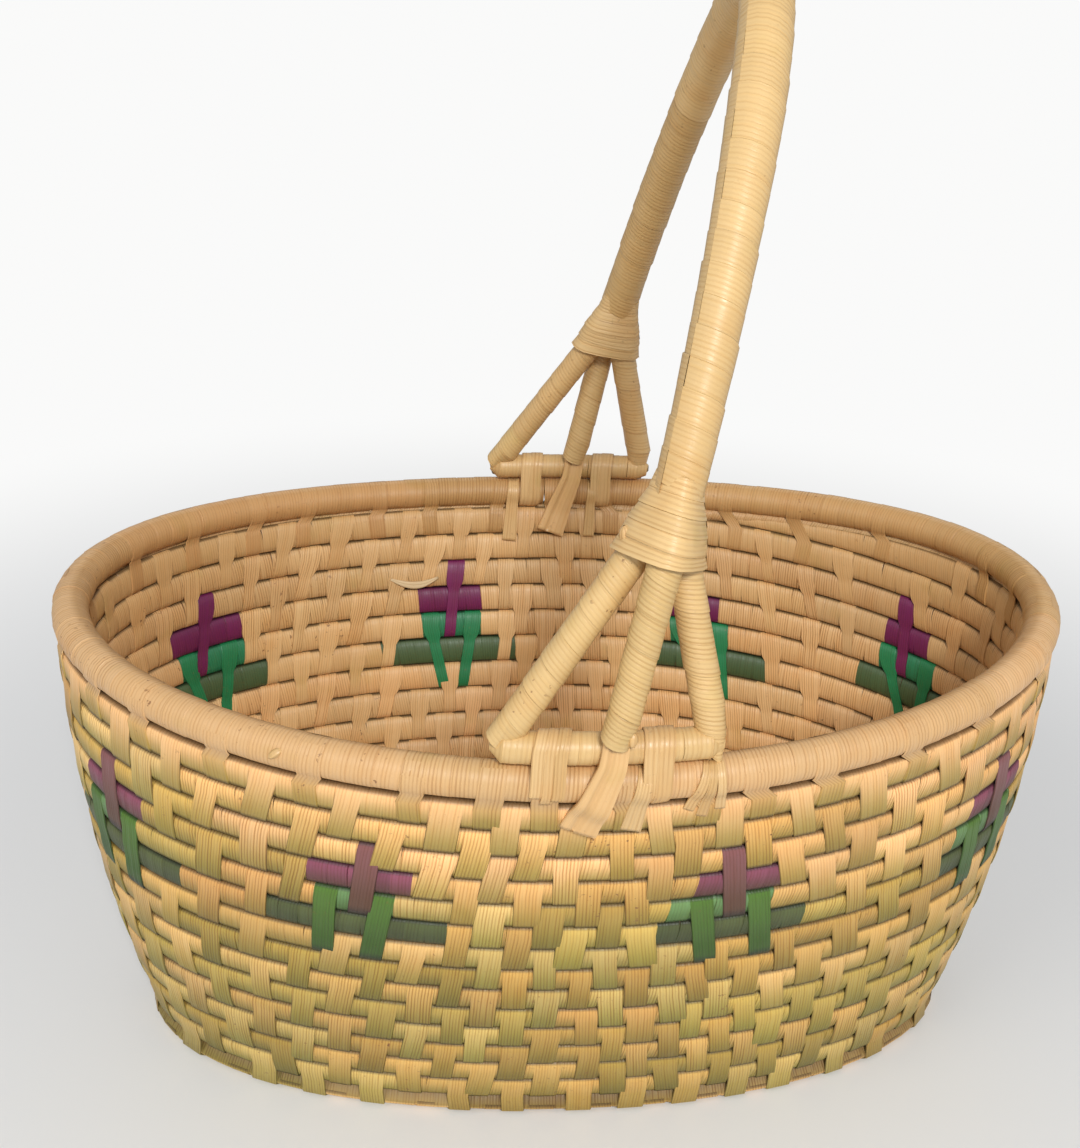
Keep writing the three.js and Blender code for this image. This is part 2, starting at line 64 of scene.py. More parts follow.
# Coil of the base and the wall: one bundle of dry leaf, wound flat round a straight core and then up the
# side in fifteen courses. The course line follows the solids' own sizes, in millimetres.
base_half_length, base_half_width, base_fullness, core_half_length = 161, 71, 2.2, 80
core_end_tightness = 11
rim_half_length, rim_half_width, rim_height, rim_end_rise = 180, 116, 181, 9
end_bulge, side_bulge = 1.5, 0.12
ground_height, rim_radius, coil_half_out, coil_half_out_below = 4.2, 6.5, 4.7, 3.2
base_turns, wall_turns, turn_parts = 6, 14, 32
step_share, start_turn, start_level, straight_until = 6 / turn_parts, 0.25, 0.35, 0.5
mm = 0.001
chance = np.random.default_rng(11)


def rand(low, high, size=None):
    return chance.uniform(low, high, size)


def lerp(a, b, t):
    return a + (b - a) * t


def eased(t):
    t = np.clip(t, 0, 1)
    return t * t * (3 - 2 * t)


def oval_point(half_length, half_width, fullness, facing):
    c, s = np.cos(facing), np.sin(facing)
    dual, power = fullness / (fullness - 1), 1 / (fullness - 1)
    along, across = half_length * abs(c), half_width * abs(s)
    reach = (along ** dual + across ** dual) ** (1 / dual)
    return half_length * (along / reach) ** power * np.sign(c), half_width * (across / reach) ** power * np.sign(s)


def blunt_oval_point(half_length, half_width, facing):
    c = np.cos(facing)
    straight = (half_length - half_width) * np.tanh(core_end_tightness * c)
    return half_width * c + straight, half_width * np.sin(facing)


def wall_point(t, facing):
    x, y = oval_point(lerp(base_half_length, rim_half_length, t + end_bulge * t * (1 - t)),
                      lerp(base_half_width, rim_half_width, t + side_bulge * t * (1 - t)),
                      lerp(base_fullness, 2, t), facing)
    z = ground_height + t * (rim_height - ground_height + rim_end_rise * (x / rim_half_length) ** 2)
    return np.stack([x, y, z], -1)


def unit(v):
    return v / np.linalg.norm(v, axis=-1, keepdims=True)


def square_to(tangent, v):
    return v - (v * tangent).sum(-1, keepdims=True) * tangent


def step_lengths(line):
    return np.linalg.norm(np.diff(line, axis=0), axis=1)


profile = wall_point(np.linspace(0, 1, 41), np.full(41, math.pi / 2))
wall_arc = step_lengths(profile).sum()
wall_pitch = (wall_arc - rim_radius - 0.5) / (wall_turns + 0.5)


def course_point(level, facing):
    t = np.maximum(level - base_turns, 0) * wall_pitch / wall_arc
    on_wall = wall_point(t, facing)
    share = np.minimum(level, base_turns) / base_turns
    core = blunt_oval_point(core_half_length, 0, facing)
    edge = oval_point(base_half_length, base_half_width, base_fullness, facing)
    blunt = blunt_oval_point(base_half_length, base_half_width, facing)
    bluntness = (1 - share) ** 2
    flat = [lerp(core[i], lerp(edge[i], blunt[i], bluntness), share) for i in (0, 1)]
    on_base = np.stack([flat[0], flat[1], np.full_like(flat[0], ground_height)], -1)
    return np.where((level > base_turns)[..., None], on_wall, on_base)


def facing_at(turns):
    round_ = math.pi / 2 + turns * 2 * math.pi
    return np.arctan2(rim_half_length * np.sin(round_), rim_half_width * np.cos(round_))


class Run:
    """A bundle's centre line: places, two directions square to it, and what its section reaches in them."""

    def __init__(self, centre, out, up, **reaches):
        self.s = np.concatenate([[0], np.cumsum(step_lengths(centre))])
        self.centre, self.out, self.up, self.reaches = centre, out, up, reaches
        self.length = self.s[-1]

    def at(self, values, s):
        flat = np.asarray(s).ravel()
        columns = [np.interp(flat, self.s, values[:, i]) for i in range(values.shape[1])]
        return np.stack(columns, -1).reshape(np.shape(s) + (values.shape[1],))

    def reach(self, name, s):
        return np.interp(s, self.s, self.reaches[name])

    def place(self, s, x_out, x_up):
        return (self.at(self.centre, s) + self.at(self.out, s) * x_out[..., None]
                + self.at(self.up, s) * x_up[..., None])

    def around(self, s, angle, lift):
        """A point on a round run, at an angle from its out direction towards its up direction."""
        radius = self.reach("radius", s) + lift
        return self.place(s, radius * np.cos(angle), radius * np.sin(angle))


def coil_run():
    top_level, tight_until = base_turns + wall_turns, 3
    turns = np.concatenate([np.linspace(start_turn, tight_until, 6000),
                            np.linspace(tight_until, top_level + 1, 9001)[1:]])
    level = np.minimum(np.floor(turns + 1e-9), top_level)
    step = eased((turns - level - (1 - step_share)) / step_share)
    last = level == top_level
    size = np.where(last, 1 - step, lerp(0.8, 1, eased(2 * turns - 1.5)))
    level = level + np.where(last, step / 2, step)
    from_start = turns - start_turn
    level = np.where(turns < start_turn + 1 / turn_parts, start_level * (1 - from_start * turn_parts), level)
    facing = facing_at(turns)
    centre = course_point(level, facing)
    kept = np.concatenate([[True], step_lengths(centre) > 1e-4])
    turns, level, size, facing, centre = (a[kept] for a in (turns, level, size, facing, centre))
    facing = np.where(turns < straight_until, facing_at(np.array(straight_until)), facing)
    tangent = unit(np.gradient(centre, axis=0))
    on, over, under = (course_point(level + i, facing) for i in (0, 1, -1))
    up = unit(square_to(tangent, over - under))
    slant = ((over - under) * tangent).sum(1) / ((over - under) * up).sum(1)
    above = np.linalg.norm(square_to(tangent, over - on), axis=1)
    below = np.linalg.norm(square_to(tangent, on - under), axis=1)
    half_up = np.minimum(above, below) * size / 2 - 0.1
    half_out = np.minimum(coil_half_out * (0.4 + 0.6 * size), 1.1 * half_up)
    lying = 1 - eased(level - base_turns + 1)
    run = Run(centre, unit(np.cross(tangent, up)), up, half_up=half_up, half_in=half_out, slant=slant,
              half_out=np.minimum(half_out, lerp(coil_half_out, coil_half_out_below, lying)))
    run.turns = turns
    return run


coil = coil_run()


def turns_at(s):
    return np.interp(s, coil.s, coil.turns)


def s_at(turns):
    return np.interp(turns, coil.turns, coil.s)


def face_of_course(q, side):
    """How far out the coil's face stands at a height q, from -1 at its foot to 1 at its top. The outside is
    pulled flat, with its top edge a little proud, and the inside is rounder."""
    flat = 0.54 + 0.46 * np.sqrt(np.maximum(1 - np.abs(q) ** 4.5, 0)) + 0.06 * q
    rounder = 0.5 + 0.5 * np.sqrt(np.maximum(1 - np.abs(q) ** 3, 0))
    return np.where(side > 0, flat, rounder)


def on_coil(s, q, side, lift):
    """A point on the outer (side 1) or inner (side -1) face of the coil."""
    half = np.where(side > 0, coil.reach("half_out", s), coil.reach("half_in", s))
    return coil.place(s, side * (half * face_of_course(q, side) + lift), coil.reach("half_up", s) * q)


# Palm leaf: sun-bleached and dull gold strips, some still a little green. One strip lasts for several turns of
# the winding, so neighbours share their colour. The eight small flowers are of leaf dyed before the work.
coil_tones = {(224, 186, 126): 0.24, (212, 174, 108): 0.25, (210, 184, 118): 0.14, (198, 173, 96): 0.14,
              (200, 163, 92): 0.13, (184, 158, 82): 0.06, (204, 160, 98): 0.03, (172, 136, 78): 0.01}
rim_tones = {(221, 181, 130): 0.4, (217, 175, 124): 0.35, (213, 173, 120): 0.2, (208, 169, 116): 0.05}
handle_tones = {(221, 187, 130): 0.45, (216, 181, 124): 0.35, (209, 173, 115): 0.2}
inner_tones = {(210, 171, 118): 0.4, (206, 165, 112): 0.4, (202, 164, 114): 0.2}
dyed = {"purple_out": (122, 66, 80), "purple_in": (112, 34, 82), "upright_out": (122, 78, 74),
        "green_out": (98, 136, 80), "green_in": (44, 128, 86), "bright_out": (70, 106, 32),
        "bright_in": (34, 124, 76), "olive_out": (74, 84, 44), "olive_in": (76, 98, 62)}


def linear(rgb):
    c = np.asarray(rgb, float) / 255
    return np.where(c <= 0.04045, c / 12.92, ((c + 0.055) / 1.055) ** 2.4)


def leaf_lengths(total, tones, shortest=40, longest=130):
    """A winding's strips one after the other: gives the colour and the kind of the strip at each place.
    A kind is how strong the strip's ribs are, how many spots it has, and a number of its own."""
    ends = np.cumsum(rand(shortest, longest, int(total / shortest) + 2))
    pick = chance.choice(len(tones), len(ends), p=list(tones.values()))
    colours = linear(list(tones))[pick] * rand(0.95, 1.04, (len(ends), 1)) * rand(0.985, 1.015, (len(ends), 3))
    kinds = np.stack([rand(0.45, 1, len(ends)), rand(0, 1, len(ends)) ** 3, rand(0, 1, len(ends))], -1)

    def strip_at(s):
        which = np.searchsorted(ends, s)
        return colours[which], kinds[which]

    return strip_at


# Long stitches: as the coil is laid, its wrapping strip is drawn over the course below at every second or
# third turn, midway between the stitches of that course, and pulled narrow on the inside. A place on the coil
# is given in turns from its start, and plain stitches keep clear of each course of a flower.
stitch_spacing, wrap_width, stitch_width, stitch_width_inside = 23.0, 7.5, 8.8, 5.8
widest_gap, narrowest_gap = 38, 17
first_stitches, first_seen_turn, last_stitch_turn = (0.6, 1.6), 1.3, 20.84
motif_turns = (17.147, 17.032, 16.947, 17.839, 17.446, 17.539, 17.340, 17.650)
clear_of_motif = {2: 5, 1: 15, 0: 20, -1: 25, -2: 31}


def stitch_places():
    places = list(turns_at(np.arange(*s_at(first_stitches), stitch_spacing)))
    i = 0
    while i + 1 < len(places):
        middle = (places[i] + places[i + 1]) / 2 + 1
        i += 1
        if middle > last_stitch_turn:
            break
        s = float(s_at(middle))
        gap = s - float(s_at(places[-1]))
        if gap < narrowest_gap:
            continue
        if gap > widest_gap:
            places.append(float(turns_at(s - gap / 2 + rand(-1.2, 1.2))))
        places.append(float(turns_at(s + rand(-2.2, 2.2))))
    return np.array([p for p in places if p > first_seen_turn])


all_stitches = stitch_places()
stitch_s = s_at(all_stitches)
is_clear = np.ones(len(all_stitches), bool)
for motif in motif_turns:
    for course, half in clear_of_motif.items():
        is_clear &= abs(stitch_s - s_at(motif + course)) > half
bars = [dict(s=float(s), width=stitch_width * rand(0.86, 1.18), courses=2, lean=rand(-1.6, 1.6),
             lean_in=rand(-2.2, 2.2), out=None, inside=None) for s in stitch_s[is_clear]]

# Flowers: purple wraps with an upright stitch over three courses, green wraps below them with two long green
# stitches that draw together on the inside, and a dark olive bar under all. A green stitch has its place beside
# the flower's middle, how far it is drawn in, and how far it splays.
dyed_stitch_width, green_stitches = 8.0, ((-12.0, 1.5, 1.0), (7.5, -10.5, -0.5))
for motif in motif_turns:
    lean = rand(-1.5, 0.5)
    bars.append(dict(s=float(s_at(motif + 1)) + rand(-0.5, 0.5), width=dyed_stitch_width, courses=3, lean=lean,
                     lean_in=rand(-2, 2), out="upright_out", inside="purple_in"))
    for offset, drawn_in, splay in green_stitches:
        bars.append(dict(s=float(s_at(motif - 1)) + offset + rand(-0.7, 0.7), width=dyed_stitch_width, courses=3,
                         lean=splay + rand(-1, 1), lean_in=drawn_in, out="bright_out", inside="bright_in"))
bars.sort(key=lambda bar: bar["s"])

# Blocks: the stitches of the next course cross each course, and what shows between two of them is one block
# of one colour, whose own stitch runs down from its middle.
bar_s = np.array([bar["s"] for bar in bars])
crossed = [bar["s"] for bar in bars for _ in range(bar["courses"] - 1)]
downs = [down for bar in bars for down in range(1, bar["courses"])]
block_edges = np.sort(s_at(np.maximum(turns_at(np.array(crossed)) - downs, 0)))
block_middles = np.convolve(np.concatenate([[0], block_edges, [coil.length]]), [0.5, 0.5], "valid")
coil_strip = leaf_lengths(coil.length, coil_tones)
inner_strip = leaf_lengths(coil.length, inner_tones)
block_colours, block_kinds = coil_strip(block_middles)
# Painted shade: outside, the lower courses are painted darker and more golden than the top ones, as the shade that
# falls on the lower wall.
painted_shade_low, painted_light_high = np.array([0.82, 0.82, 0.6]), np.array([1.14, 1.06, 0.98])
painted_shade_turn, fading_turns = 13, 7
up_the_wall = eased((turns_at(block_middles)[:, None] - painted_shade_turn) / fading_turns)
block_colours = block_colours * rand(0.86, 1.12, (len(block_middles), 1)) * lerp(painted_shade_low, painted_light_high, up_the_wall)
block_insides = inner_strip(block_middles)[0] * rand(0.97, 1.03, (len(block_middles), 1))
# Painted light: inside, the lower courses are painted lighter, against the shade that falls deep in the basket.
block_insides = block_insides * lerp(1.22, 1.04, up_the_wall)


def block_of(s):
    return np.searchsorted(block_edges, s)


# Wraps: between the long stitches of its own course the strip goes plainly round the coil. One lies a little
# deeper under each stitch.
coil_end, least_gap, deeper = float(s_at(20.99)), 1.5, 0.25
wrap_places = []
for start, stop in zip([float(s_at(start_turn)) + 0.5] + [bar["s"] + bar["width"] / 2 for bar in bars],
                       [bar["s"] - bar["width"] / 2 for bar in bars] + [coil_end]):
    if stop - start > least_gap:
        count = max(1, round((stop - start) / wrap_width))
        width = (stop - start) / count
        wrap_places += [(start + (i + 0.5) * width, width, 0) for i in range(count)]
wrap_places += [(bar["s"], bar["width"] + 0.6, deeper) for bar in bars]
wrap_s, wrap_w, wrap_under = np.array(wrap_places).T
wrap_colour = block_colours[block_of(wrap_s)] * rand(0.975, 1.02, (len(wrap_s), 1))
wrap_inside = block_insides[block_of(wrap_s)] * rand(0.985, 1.01, (len(wrap_s), 1))
wrap_kind = block_kinds[block_of(wrap_s)].copy()
# The course of each dye, counted up from a flower's purple one, and where on it the dyed wraps begin and end
dyed_spans = (("purple", 0, -15, 13), ("green", -1, -19, 12.0), ("olive", -2, -31, 26))
for motif in motif_turns:
    for name, course, low, high in dyed_spans:
        offset = wrap_s - s_at(motif + course)
        here = (offset > low + rand(-2, 2)) & (offset < high + rand(-2, 2))
        tone = rand(0.82, 1.15, (here.sum(), 1))
        wrap_colour[here] = linear(dyed[name + "_out"]) * tone
        wrap_inside[here] = linear(dyed[name + "_in"]) * lerp(1, tone, 0.4)
        wrap_kind[here] = (0.5, 0.1, 0.5)

ring_q = np.array([-1, -0.95, -0.84, -0.5, 0, 0.5, 0.86, 0.96, 1])
strip_across = np.array([-1, -0.93, 0.93, 1])
wrap_lift, half_course, course_height = 0.42, 6, 12.1


def closed_ring(q):
    """Heights up the outside of a course, down its inside and back to the start, and the side that each is on."""
    return np.concatenate([q, q[::-1], q[:1]]), np.repeat([1, -1, 1], [len(q), len(q), 1])


def edge_else(at_edge, between):
    """One value at the two edges of a strip, and another between them."""
    return np.where(np.abs(strip_across) > 0.95, at_edge, between)


def by_strip(values):
    return np.reshape(values, (-1, 1, 1))


def by_row(values):
    return np.reshape(values, (1, -1, 1))


def strips_round(s, width, rows_q, rows_side, lean, lift, edge_drop, tilt=0.0):
    """Points of strips laid across the coil: one row for each place round it, four across the strip."""
    places = by_strip(s) + lean + strip_across * width / 2
    lifted = lift + edge_else(edge_drop, 0.0) + tilt * strip_across
    shape = np.broadcast_shapes(places.shape, lifted.shape, (1, len(rows_q), 1))
    q, side = (np.broadcast_to(by_row(a), shape) for a in (rows_q, rows_side))
    return on_coil(np.broadcast_to(places, shape), q, side, np.broadcast_to(lifted, shape))


def grain_of(along, across, count):
    """Where each point lies on its leaf: millimetres along it and across it, on a leaf of its own."""
    own_leaf = rand(0, 900, (count, 1, 1)), rand(0, 900, (count, 1, 1))
    return np.stack(np.broadcast_arrays(along + own_leaf[0], across + own_leaf[1]), -1)


def spread(values, points):
    """Values of each strip or each point, given to all its points."""
    return np.broadcast_to(values[:, None, None, :] if values.ndim == 2 else values, points.shape)


def turned_over(grid):
    return tuple(a[:, ::-1] for a in grid)


leaf_of_slot = {}


def weave(name, grids, slot):
    """One mesh from many strips. Each grid holds points, colours, kinds and grain in millimetres."""
    parts, offset = [], 0
    for points, colour, kind, grain in grids:
        n, rows, columns = points.shape[:3]
        ids = offset + np.arange(n * rows * columns).reshape(n, rows, columns)
        offset += ids.size
        corners = np.stack([ids[:, :-1, :-1], ids[:, :-1, 1:], ids[:, 1:, 1:], ids[:, 1:, :-1]], -1)
        column = np.arange(columns) if columns == len(strip_across) else np.zeros(columns, int)
        parts.append((points.reshape(-1, 3), spread(colour, points).reshape(-1, 3),
                      spread(kind, points).reshape(-1, 3), np.broadcast_to(grain, ids.shape + (2,)).reshape(-1, 2),
                      corners.reshape(-1, 4), np.broadcast_to(column, ids.shape).ravel()))
    verts, colours, kinds, grains, quads, edge_columns = (np.concatenate(a) for a in zip(*parts))
    mesh = bpy.data.meshes.new(name)
    mesh.vertices.add(len(verts))
    mesh.vertices.foreach_set("co", (verts * mm).astype(np.float32).ravel())
    mesh.loops.add(quads.size)
    mesh.loops.foreach_set("vertex_index", quads.astype(np.int32).ravel())
    mesh.polygons.add(len(quads))
    mesh.polygons.foreach_set("loop_start", np.arange(0, quads.size, 4, dtype=np.int32))
    mesh.update(calc_edges=True)
    mesh.polygons.foreach_set("use_smooth", np.ones(len(quads), bool))

    def fill(layer, field, values):
        layer.data.foreach_set(field, values.astype(np.float32).ravel())

    with_alpha = np.concatenate([colours, np.ones((len(verts), 1))], 1)
    fill(mesh.color_attributes.new("leaf_colour", "FLOAT_COLOR", "POINT"), "color", with_alpha)
    fill(mesh.attributes.new("leaf_kind", "FLOAT_VECTOR", "POINT"), "vector", kinds)
    fill(mesh.uv_layers.new(name="leaf_grain"), "uv", grains[quads.ravel()])
    # The two long edges of a strip stay sharp
    ends = np.zeros(len(mesh.edges) * 2, np.int32)
    mesh.edges.foreach_get("vertices", ends)
    first, second = edge_columns[ends.reshape(-1, 2)].T
    sharp = (first == second) & ((first == 1) | (first == 2))
    mesh.attributes.new("sharp_edge", "BOOLEAN", "EDGE").data.foreach_set("value", sharp)
    mesh.materials.append(leaf_of_slot[slot])
    piece = bpy.data.objects.new(name, mesh)
    scene.collection.objects.link(piece)
    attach(piece, "root")
    return piece


class Wire:
    """A socket of a material's nodes, on which plain arithmetic adds the Math nodes."""

    def __init__(self, tree, socket=None):
        self.tree, self.socket = tree, socket

    def node(self, kind, inputs=None, output=0, **settings):
        made = self.tree.nodes.new(kind)
        for key, value in settings.items():
            setattr(made, key, value)
        for key, value in (inputs or {}).items():
            if isinstance(value, Wire):
                self.tree.links.new(value.socket, made.inputs[key])
            else:
                made.inputs[key].default_value = value
        return Wire(self.tree, made.outputs[output])

    def math(self, operation, *values):
        return self.node("ShaderNodeMath", dict(enumerate(values)), operation=operation)

    def __add__(self, other):
        return self.math("ADD", self, other)

    def __sub__(self, other):
        return self.math("SUBTRACT", self, other)

    def __rsub__(self, other):
        return self.math("SUBTRACT", other, self)

    def __mul__(self, other):
        return self.math("MULTIPLY", self, other)

    __radd__, __rmul__ = __add__, __mul__

    def ramp(self, low, high):
        return self.node("ShaderNodeMapRange", {"Value": self, "From Min": low, "From Max": high},
                         interpolation_type="SMOOTHSTEP")

    def mix(self, a, b, blend="MIX"):
        return self.node("ShaderNodeMix", {0: self, 6: a, 7: b}, output=2, data_type="RGBA", blend_type=blend)

    def noise(self, scale, detail, rough=0.5):
        return self.node("ShaderNodeTexNoise", {"Vector": self, "Scale": scale, "Detail": detail, "Roughness": rough})

    def into(self, node, name):
        self.tree.links.new(self.socket, node.inputs[name])


def colour_value(rgb):
    return (*linear(rgb), 1)


def new_material(name):
    """A new material, its shader, and a wire to start from."""
    material = bpy.data.materials.new(name)
    material.use_nodes = True
    return material, material.node_tree.nodes["Principled BSDF"], Wire(material.node_tree)


def leaf_material(name, rib_pitch=1.1, rib_depth=0.66, roughness=0.5):
    """Dry palm leaf: straight ribs along the strip, uneven straw tones, brown freckles and a dull gloss."""
    leaf_of_slot[name], shader, start = new_material(name)
    colour = start.node("ShaderNodeVertexColor", layer_name="leaf_colour")
    kind = start.node("ShaderNodeAttribute", output="Vector", attribute_name="leaf_kind")
    rib_strength, spots, number = (start.node("ShaderNodeSeparateXYZ", {0: kind}, output=i) for i in range(3))
    grain = start.node("ShaderNodeUVMap", uv_map="leaf_grain")
    along, across = (start.node("ShaderNodeSeparateXYZ", {0: grain}, output=i) for i in range(2))
    place = start.node("ShaderNodeTexCoord", output="Object")

    def on_leaf(stretch, squeeze, shift):
        return start.node("ShaderNodeCombineXYZ", {0: along * stretch, 1: across * squeeze, 2: number * shift})

    streak = on_leaf(0.025, 1.1, 7.0).noise(1.0, 3.0, 0.6)
    bend = on_leaf(0.05, 0.2, 3.0).noise(1.0, 1.0)
    rib = start.math("SINE", (across + bend * 0.4) * (2 * math.pi / rib_pitch))
    groove = (rib * 0.5 + 0.5).ramp(0.4, 1.0) * rib_strength * streak.ramp(0.25, 0.6)
    blotch, freckle = place.noise(45.0, 3.0, 0.55), place.noise(520.0, 2.0)

    # Bleached streaks, warm and greenish blotches and brown ribs, each laid over the one before
    for share, tone in (
            (streak.ramp(0.35, 0.75) * 0.5, (255, 246, 226)), (blotch.ramp(0.5, 0.78) * 0.4, (246, 222, 190)),
            ((1 - blotch).ramp(0.56, 0.8) * 0.5, (226, 232, 190)), (groove * rib_depth, (184, 144, 92))):
        colour = share.mix(colour, colour_value(tone), "MULTIPLY")
    spotted = freckle.ramp(0.66, 0.72) * blotch.ramp(0.42, 0.6) * spots
    spotted.mix(colour, colour_value((128, 84, 48))).into(shader, "Base Color")
    (streak.ramp(0.2, 0.8) * 0.2 + (roughness - 0.1)).into(shader, "Roughness")
    height = (1 - groove) * 0.8 + streak * 0.5 + freckle * 0.1
    start.node("ShaderNodeBump", {"Height": height, "Strength": 0.7, "Distance": 0.0002}).into(shader, "Normal")


leaf_material("coil_leaf")

# Bundle inside the coil, seen only in the cracks between strips: a closed tube along the whole course line.
bundle_step, bundle_depth, bundle_brown = 6.0, -0.1, linear([(104, 72, 42)])
core_s = np.concatenate([np.arange(0, coil_end, bundle_step), [coil_end]])[None, :]
core_q, core_side = (a[:, None] for a in closed_ring(np.array([-0.97, -0.75, 0, 0.75, 0.97])))
core_points = on_coil(core_s + 0 * core_q, core_q, core_side, bundle_depth)[None]
core_points[..., 2] = np.maximum(core_points[..., 2], 0.5)
core_grain = np.stack(np.broadcast_arrays(core_s[None], core_q[None] * half_course), -1)
weave("coil_bundle", [(core_points, bundle_brown, np.array([[0.5, 0, 0]]), core_grain)], "coil_leaf")

# Painted light: the top of each course is painted paler, as a highlight. Towards its foot it is painted darker
# and more olive, as shade, and the crack between two courses is painted dark, as shade. A long stitch is painted
# darker in the same way from its top to its end.
painted_highlight, painted_foot_shade, painted_crack_shade = np.array([1.3, 1.24, 1.4]), np.array([0.56, 0.64, 0.37]), 0.2


def painted_light_down(way_down, courses=1):
    """Painted highlight and shade at a place on a face, from 0 at its top to 1 at its foot, which is that many
    courses down.
    """
    way_down = np.asarray(way_down)[..., None]
    tone = lerp(painted_highlight, painted_foot_shade, eased(way_down * 1.15))
    at_top = lerp(painted_crack_shade, 1.0, eased(way_down * courses / 0.06))
    return tone * at_top * lerp(1.0, painted_crack_shade, eased((way_down - 0.86) / 0.08))


def inside_crack_shade(q):
    """On the inside only the cracks are painted darker, as shade."""
    return lerp(1.04, 0.35, eased((np.abs(q) - 0.84) / 0.14))[None, :, None, None]


# Plain wraps: most lie edge to edge with their neighbours, and a few stand a little apart. On the base and the
# lowest course, on which the basket stands, the painted shade is kept lighter than on the courses above.
each_wrap, share_apart, wrap_overlap = (len(wrap_s), 1, 1), 0.16, 1.02
lowest_painted_shade, lowest_until = 0.6, 7.1
wrap_q, wrap_side = closed_ring(ring_q)
round_again = np.concatenate([ring_q, -ring_q, ring_q[:1]])
wrap_lean = by_row(round_again) * rand(0.2, 0.9, each_wrap)
apart = rand(0, 1, each_wrap) < share_apart
wrap_points = strips_round(wrap_s, by_strip(wrap_w * wrap_overlap), wrap_q, wrap_side, wrap_lean,
                           wrap_lift - by_strip(wrap_under) + rand(-0.03, 0.03, each_wrap),
                           np.where(apart, -0.4, -0.1), rand(-0.04, 0.04, each_wrap))
wrap_points[..., 2] = np.maximum(wrap_points[..., 2], 0.3)
wrap_turns = turns_at(wrap_s)
outside = wrap_side[None, :, None, None] > 0
wrap_shade = np.where(outside, painted_light_down((1 - wrap_q) / 2)[None, :, None, :], inside_crack_shade(wrap_q))
on_ground = (wrap_turns < lowest_until)[:, None, None, None] & outside
# The two edges of each wrap are painted darker, as shade in the cracks between strips.
wrap_shade = np.where(on_ground, np.maximum(wrap_shade, lowest_painted_shade), wrap_shade) * edge_else(0.86, 1.0)[:, None]
wrap_colours = np.where(outside, wrap_colour[:, None, None, :], wrap_inside[:, None, None, :]) * wrap_shade
face_steps = np.diff(face_of_course(wrap_q, wrap_side)) * coil_half_out
wrap_along = np.cumsum([0, *np.hypot(np.diff(wrap_q) * half_course, face_steps)])
wrap_grain = grain_of(by_row(wrap_along), strip_across * by_strip(wrap_w) / 2, len(wrap_s))
for name, low, high, nodes in (("base_wraps", 0, 6, ["base_coil"]), ("lower_wall_wraps", 6, 11, ["wall_coil"]),
                               ("middle_wall_wraps", 11, 16, []), ("upper_wall_wraps", 16, 21, [])):
    part = (wrap_turns >= low) & (wrap_turns < high)
    piece = weave(name, [(wrap_points[part], wrap_colours[part], wrap_kind[part], wrap_grain[part])], "coil_leaf")
    if nodes:
        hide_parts(*nodes)

# Long stitches, outside and inside: flush with the block they come from, then taut over the course below,
# where they lie in more shade and end tucked in under it. Each height on a course has its lift.
own_q, own_lift = np.array([1, 0.96, 0.86, 0.5, 0, -0.5, -0.85]), np.array([0.42, 0.44, 0.46, 0.46, 0.6, 0.9, 1.62])
over_q, over_lift = np.array([0.8, 0.5, 0, -0.5, -0.84, -0.96, -1]), np.array([1.15, 0.88, 0.9, 0.86, 0.95, 0.7, 0.3])
between_q, between_lift = np.array([0.8, 0.5, 0, -0.5, -0.85]), np.array([1.15, 0.88, 0.9, 1.0, 1.62])
standing_off = 0.6


def lay_bars(chosen, side):
    lean_name, dye_name, blocks, narrow, painted_edge_shade = (
        ("lean", "out", block_colours, 1.0, 0.32) if side > 0 else
        ("lean_in", "inside", block_insides, stitch_width_inside / stitch_width, 0.55))
    grids = []
    for courses in (2, 3):
        group = [bar for bar in chosen if bar["courses"] == courses]
        if not group:
            continue
        s, width, lean = (np.array([bar[key] for bar in group]) for key in ("s", "width", lean_name))
        width, lean = by_strip(width), by_strip(lean)
        colour, kind = blocks[block_of(s)], block_kinds[block_of(s)].copy()
        for i, bar in enumerate(group):
            if bar[dye_name]:
                colour[i] = linear(dyed[bar[dye_name]]) * rand(0.92, 1.08)
                kind[i] = (0.5, 0.25, 0.5)
        laid = [(own_q, own_lift)] + [(between_q, between_lift)] * (courses - 2) + [(over_q, over_lift)]
        parts = []
        for down, (rows_q, rows_lift) in enumerate(laid):
            here, rows_down = s_at(turns_at(s) - down), down + (1 - rows_q) / 2
            drawn = (rows_down - 0.5).clip(0) / (courses - 0.5)
            share = np.full(len(rows_q), narrow) if down else lerp(narrow, 1, np.clip((rows_q + 1.05) / 0.3, 0, 1))
            slant = coil.reach("half_up", here) * coil.reach("slant", here)
            points = strips_round(here, width * by_row(share), rows_q, side,
                                  lean * by_row(drawn) + by_strip(slant) * by_row(rows_q), by_row(rows_lift),
                                  by_row(np.where(rows_lift > standing_off, -0.45, -0.1)))
            # Outside, a stitch is painted paler at its top and darker towards its end, as highlight and shade. Its
            # free edges are painted dark, as shade, less so inside.
            tones = painted_light_down(rows_down / courses, courses) if side > 0 else np.full((len(rows_q), 3), 1.06)
            edges = np.where(rows_lift > standing_off, painted_edge_shade, 0.95)
            parts.append((points.swapaxes(0, 1), tones, edges, course_height * rows_down, share))
        points, tones, edges, along, share = (np.concatenate(a) for a in zip(*parts))
        points = points.swapaxes(0, 1)
        points[..., 2] = np.maximum(points[..., 2], 0.05)
        colours = colour[:, None, None, :] * tones[None, :, None, :]
        colours = colours * edge_else(edges[:, None], 1.0)[None, :, :, None]
        across = strip_across * width * by_row(share) / 2
        grid = points, colours, spread(kind, points), grain_of(by_row(along), across, len(group))
        grids.append(turned_over(grid) if side > 0 else grid)
    return grids


